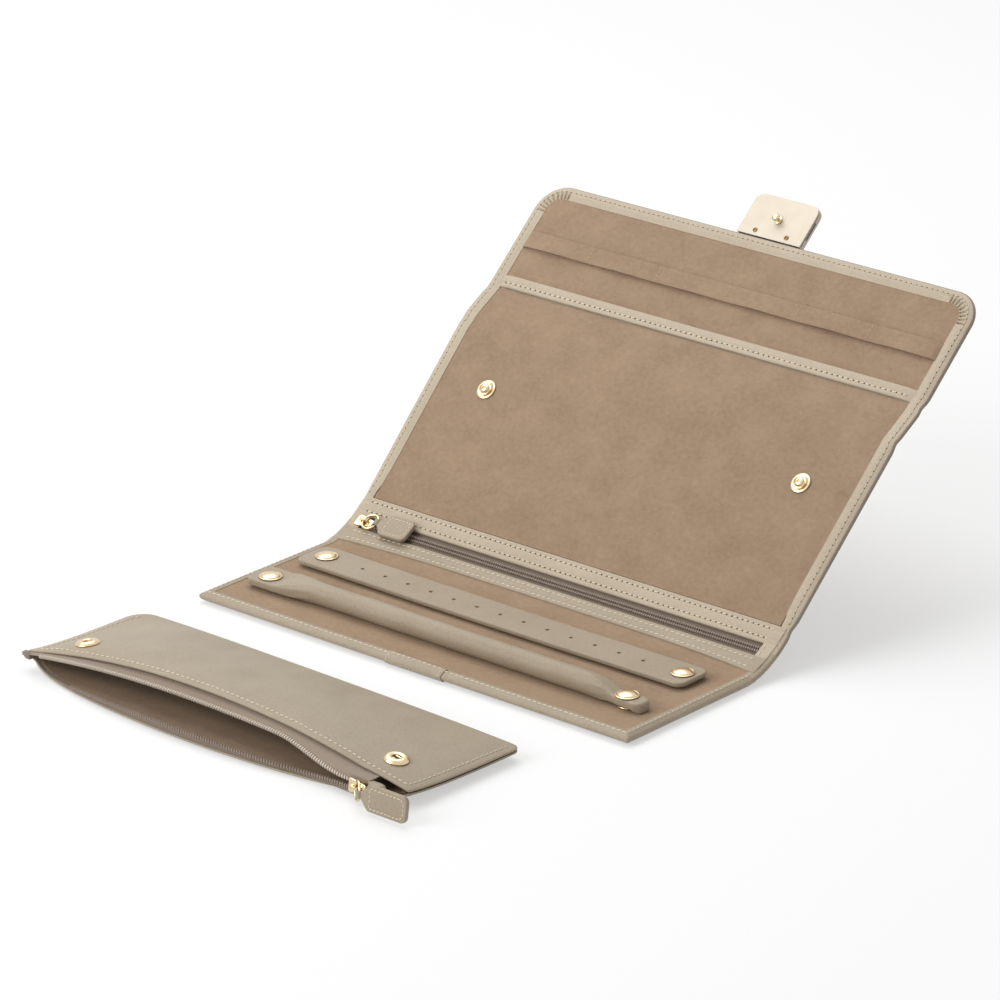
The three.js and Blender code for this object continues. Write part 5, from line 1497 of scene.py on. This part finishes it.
def stubPiece():
    (lowX, _, lowZ), (highX, _, highZ) = stub["low"], stub["high"]
    middle = (lowZ + highZ) / 2
    bm = softSlab(stub["low"], stub["high"], stub["edge"], spread(lowX, highX, 1))

    def stubPoint(x, y, z):
        tip = smooth(highX - stub["tip"], lowX, x)
        return pouchTurn @ (Vector((x, y + stub["swing"] * tip, middle + (z - middle) * (1 - stub["thin"] * tip))) * mm)

    bendMesh(bm, stubPoint)
    addPiece("pouch_zip_stub", bm, [zipTape], "pouch")


stubPiece()

socket = {"x": 86, "front": 14.5, "radius": 5.2, "height": 1.5, "crown": 3.9, "bore": 1.9, "floor": -0.3, "seat": 0.2,
          "foot": -0.6, "wire": 0.35, "wireLength": 3.4, "wireGap": 1.2, "wireDown": 0.9, "wireSides": 10,
          "probe": 0.015}


def socketPiece(name, side):
    x, back, probe = side * socket["x"], pouch["depth"] / 2, socket["probe"]
    v = (pouch["depth"] - socket["front"]) / (back - upperLip(x))
    centre = pouchPoint(x, v, 0, True)
    acrossX = pouchPoint(x + 1, v, 0, True) - pouchPoint(x - 1, v, 0, True)
    acrossY = pouchPoint(x, v - probe, 0, True) - pouchPoint(x, v + probe, 0, True)
    out = acrossX.cross(acrossY).normalized()
    along = (acrossX - out * acrossX.dot(out)).normalized()
    seat = Matrix.Translation(centre + out * socket["seat"] * mm) @ columns(along, out.cross(along), out)
    place = lambda x, y, z: seat @ (Vector((x, y, z)) * mm)
    radius, crown, bore, high, foot, floor = (
        socket[key] for key in ("radius", "crown", "bore", "height", "foot", "floor"))
    profile = [(0, foot), (radius - 0.3, foot), (radius, 0.2), (radius - 0.2, 0.5), (crown + 0.7, 0.95),
               (crown + 0.3, high - 0.2), (crown - 0.2, high), (bore + 0.5, high), (bore, high - 0.3), (bore, floor),
               (0, floor)]
    shut(turnedPiece(name + "_ring", profile, place, brightGold, "pouch", [name]))
    bm = bmesh.new()
    for gap in (-socket["wireGap"], socket["wireGap"]):
        wire = Matrix.Translation((0, gap, high - socket["wireDown"])) @ Matrix.Rotation(math.pi / 2, 4, "Y")
        bmesh.ops.create_cone(bm, cap_ends=True, segments=socket["wireSides"], radius1=socket["wire"],
                              radius2=socket["wire"], depth=socket["wireLength"], matrix=wire)
    bendMesh(bm, place)
    shut(addPiece(name + "_spring", bm, [brightGold], "pouch"))


socketPiece("pouch_socket_left", -1)
socketPiece("pouch_socket_right", 1)
print("pouch made")


# stage: a white floor that keeps the shadow, a soft key from behind and a wide fill
stage = {"floor": 8, "floorZ": -0.0004, "grey": 0.9, "roughness": 0.9, "lift": 0.5, "world": 0.42}
lamps = {"key": {"place": (-0.65, 0.3, 1.45), "target": (0, 0.02, 0.03), "size": 1.5, "power": 17},
         "fill": {"place": (-0.7, -1.5, 0.95), "target": (0, 0, 0.04), "size": 1.3, "power": 20}}


def seenRays(wire):
    path = wire.node("ShaderNodeLightPath", {}, {}, "Is Camera Ray")
    outputs = path.socket.node.outputs
    rays = path + Wire(wire.tree, outputs["Is Glossy Ray"]) + Wire(wire.tree, outputs["Is Transmission Ray"])
    return wire.maths("MINIMUM", rays, 1.0)


def makeFloor():
    bm = bmesh.new()
    bmesh.ops.create_grid(bm, x_segments=1, y_segments=1, size=stage["floor"])
    mesh = meshOf(bm, "floor")
    floor = bpy.data.objects.new("floor", mesh)
    floor.location.z = stage["floorZ"]
    bpy.context.collection.objects.link(floor)
    material = bpy.data.materials.new("white_floor")
    material.use_nodes = True
    wire = Wire(material.node_tree)
    shader = material.node_tree.nodes["Principled BSDF"]
    shader.inputs["Base Color"].default_value = (stage["grey"], stage["grey"], stage["grey"], 1)
    shader.inputs["Roughness"].default_value = stage["roughness"]
    glow = wire.node("ShaderNodeEmission", {}, {"Color": (1, 1, 1, 1), "Strength": 1.0})
    shade = wire.node("ShaderNodeMixShader", {}, {0: seenRays(wire) * stage["lift"],
                                                  1: Wire(wire.tree, shader.outputs[0]), 2: glow})
    wire.tree.links.new(shade.socket, material.node_tree.nodes["Material Output"].inputs["Surface"])
    mesh.materials.append(material)


def makeWorld():
    world = bpy.data.worlds.new("studio")
    world.use_nodes = True
    bpy.context.scene.world = world
    wire = Wire(world.node_tree)
    strength = seenRays(wire) * (1 - stage["world"]) + stage["world"]
    back = world.node_tree.nodes["Background"]
    back.inputs["Color"].default_value = (1, 1, 1, 1)
    wire.tree.links.new(strength.socket, back.inputs["Strength"])


def areaLight(name, look):
    light = bpy.data.lights.new(name, "AREA")
    light.shape = "SQUARE"
    light.size = look["size"]
    light.energy = look["power"]
    lamp = bpy.data.objects.new(name, light)
    lamp.location = look["place"]
    lamp.rotation_euler = (Vector(look["target"]) - Vector(look["place"])).to_track_quat("-Z", "Y").to_euler()
    bpy.context.collection.objects.link(lamp)


makeFloor()
makeWorld()
for name, look in lamps.items():
    areaLight(name, look)
print("stage made")

print("scene done")
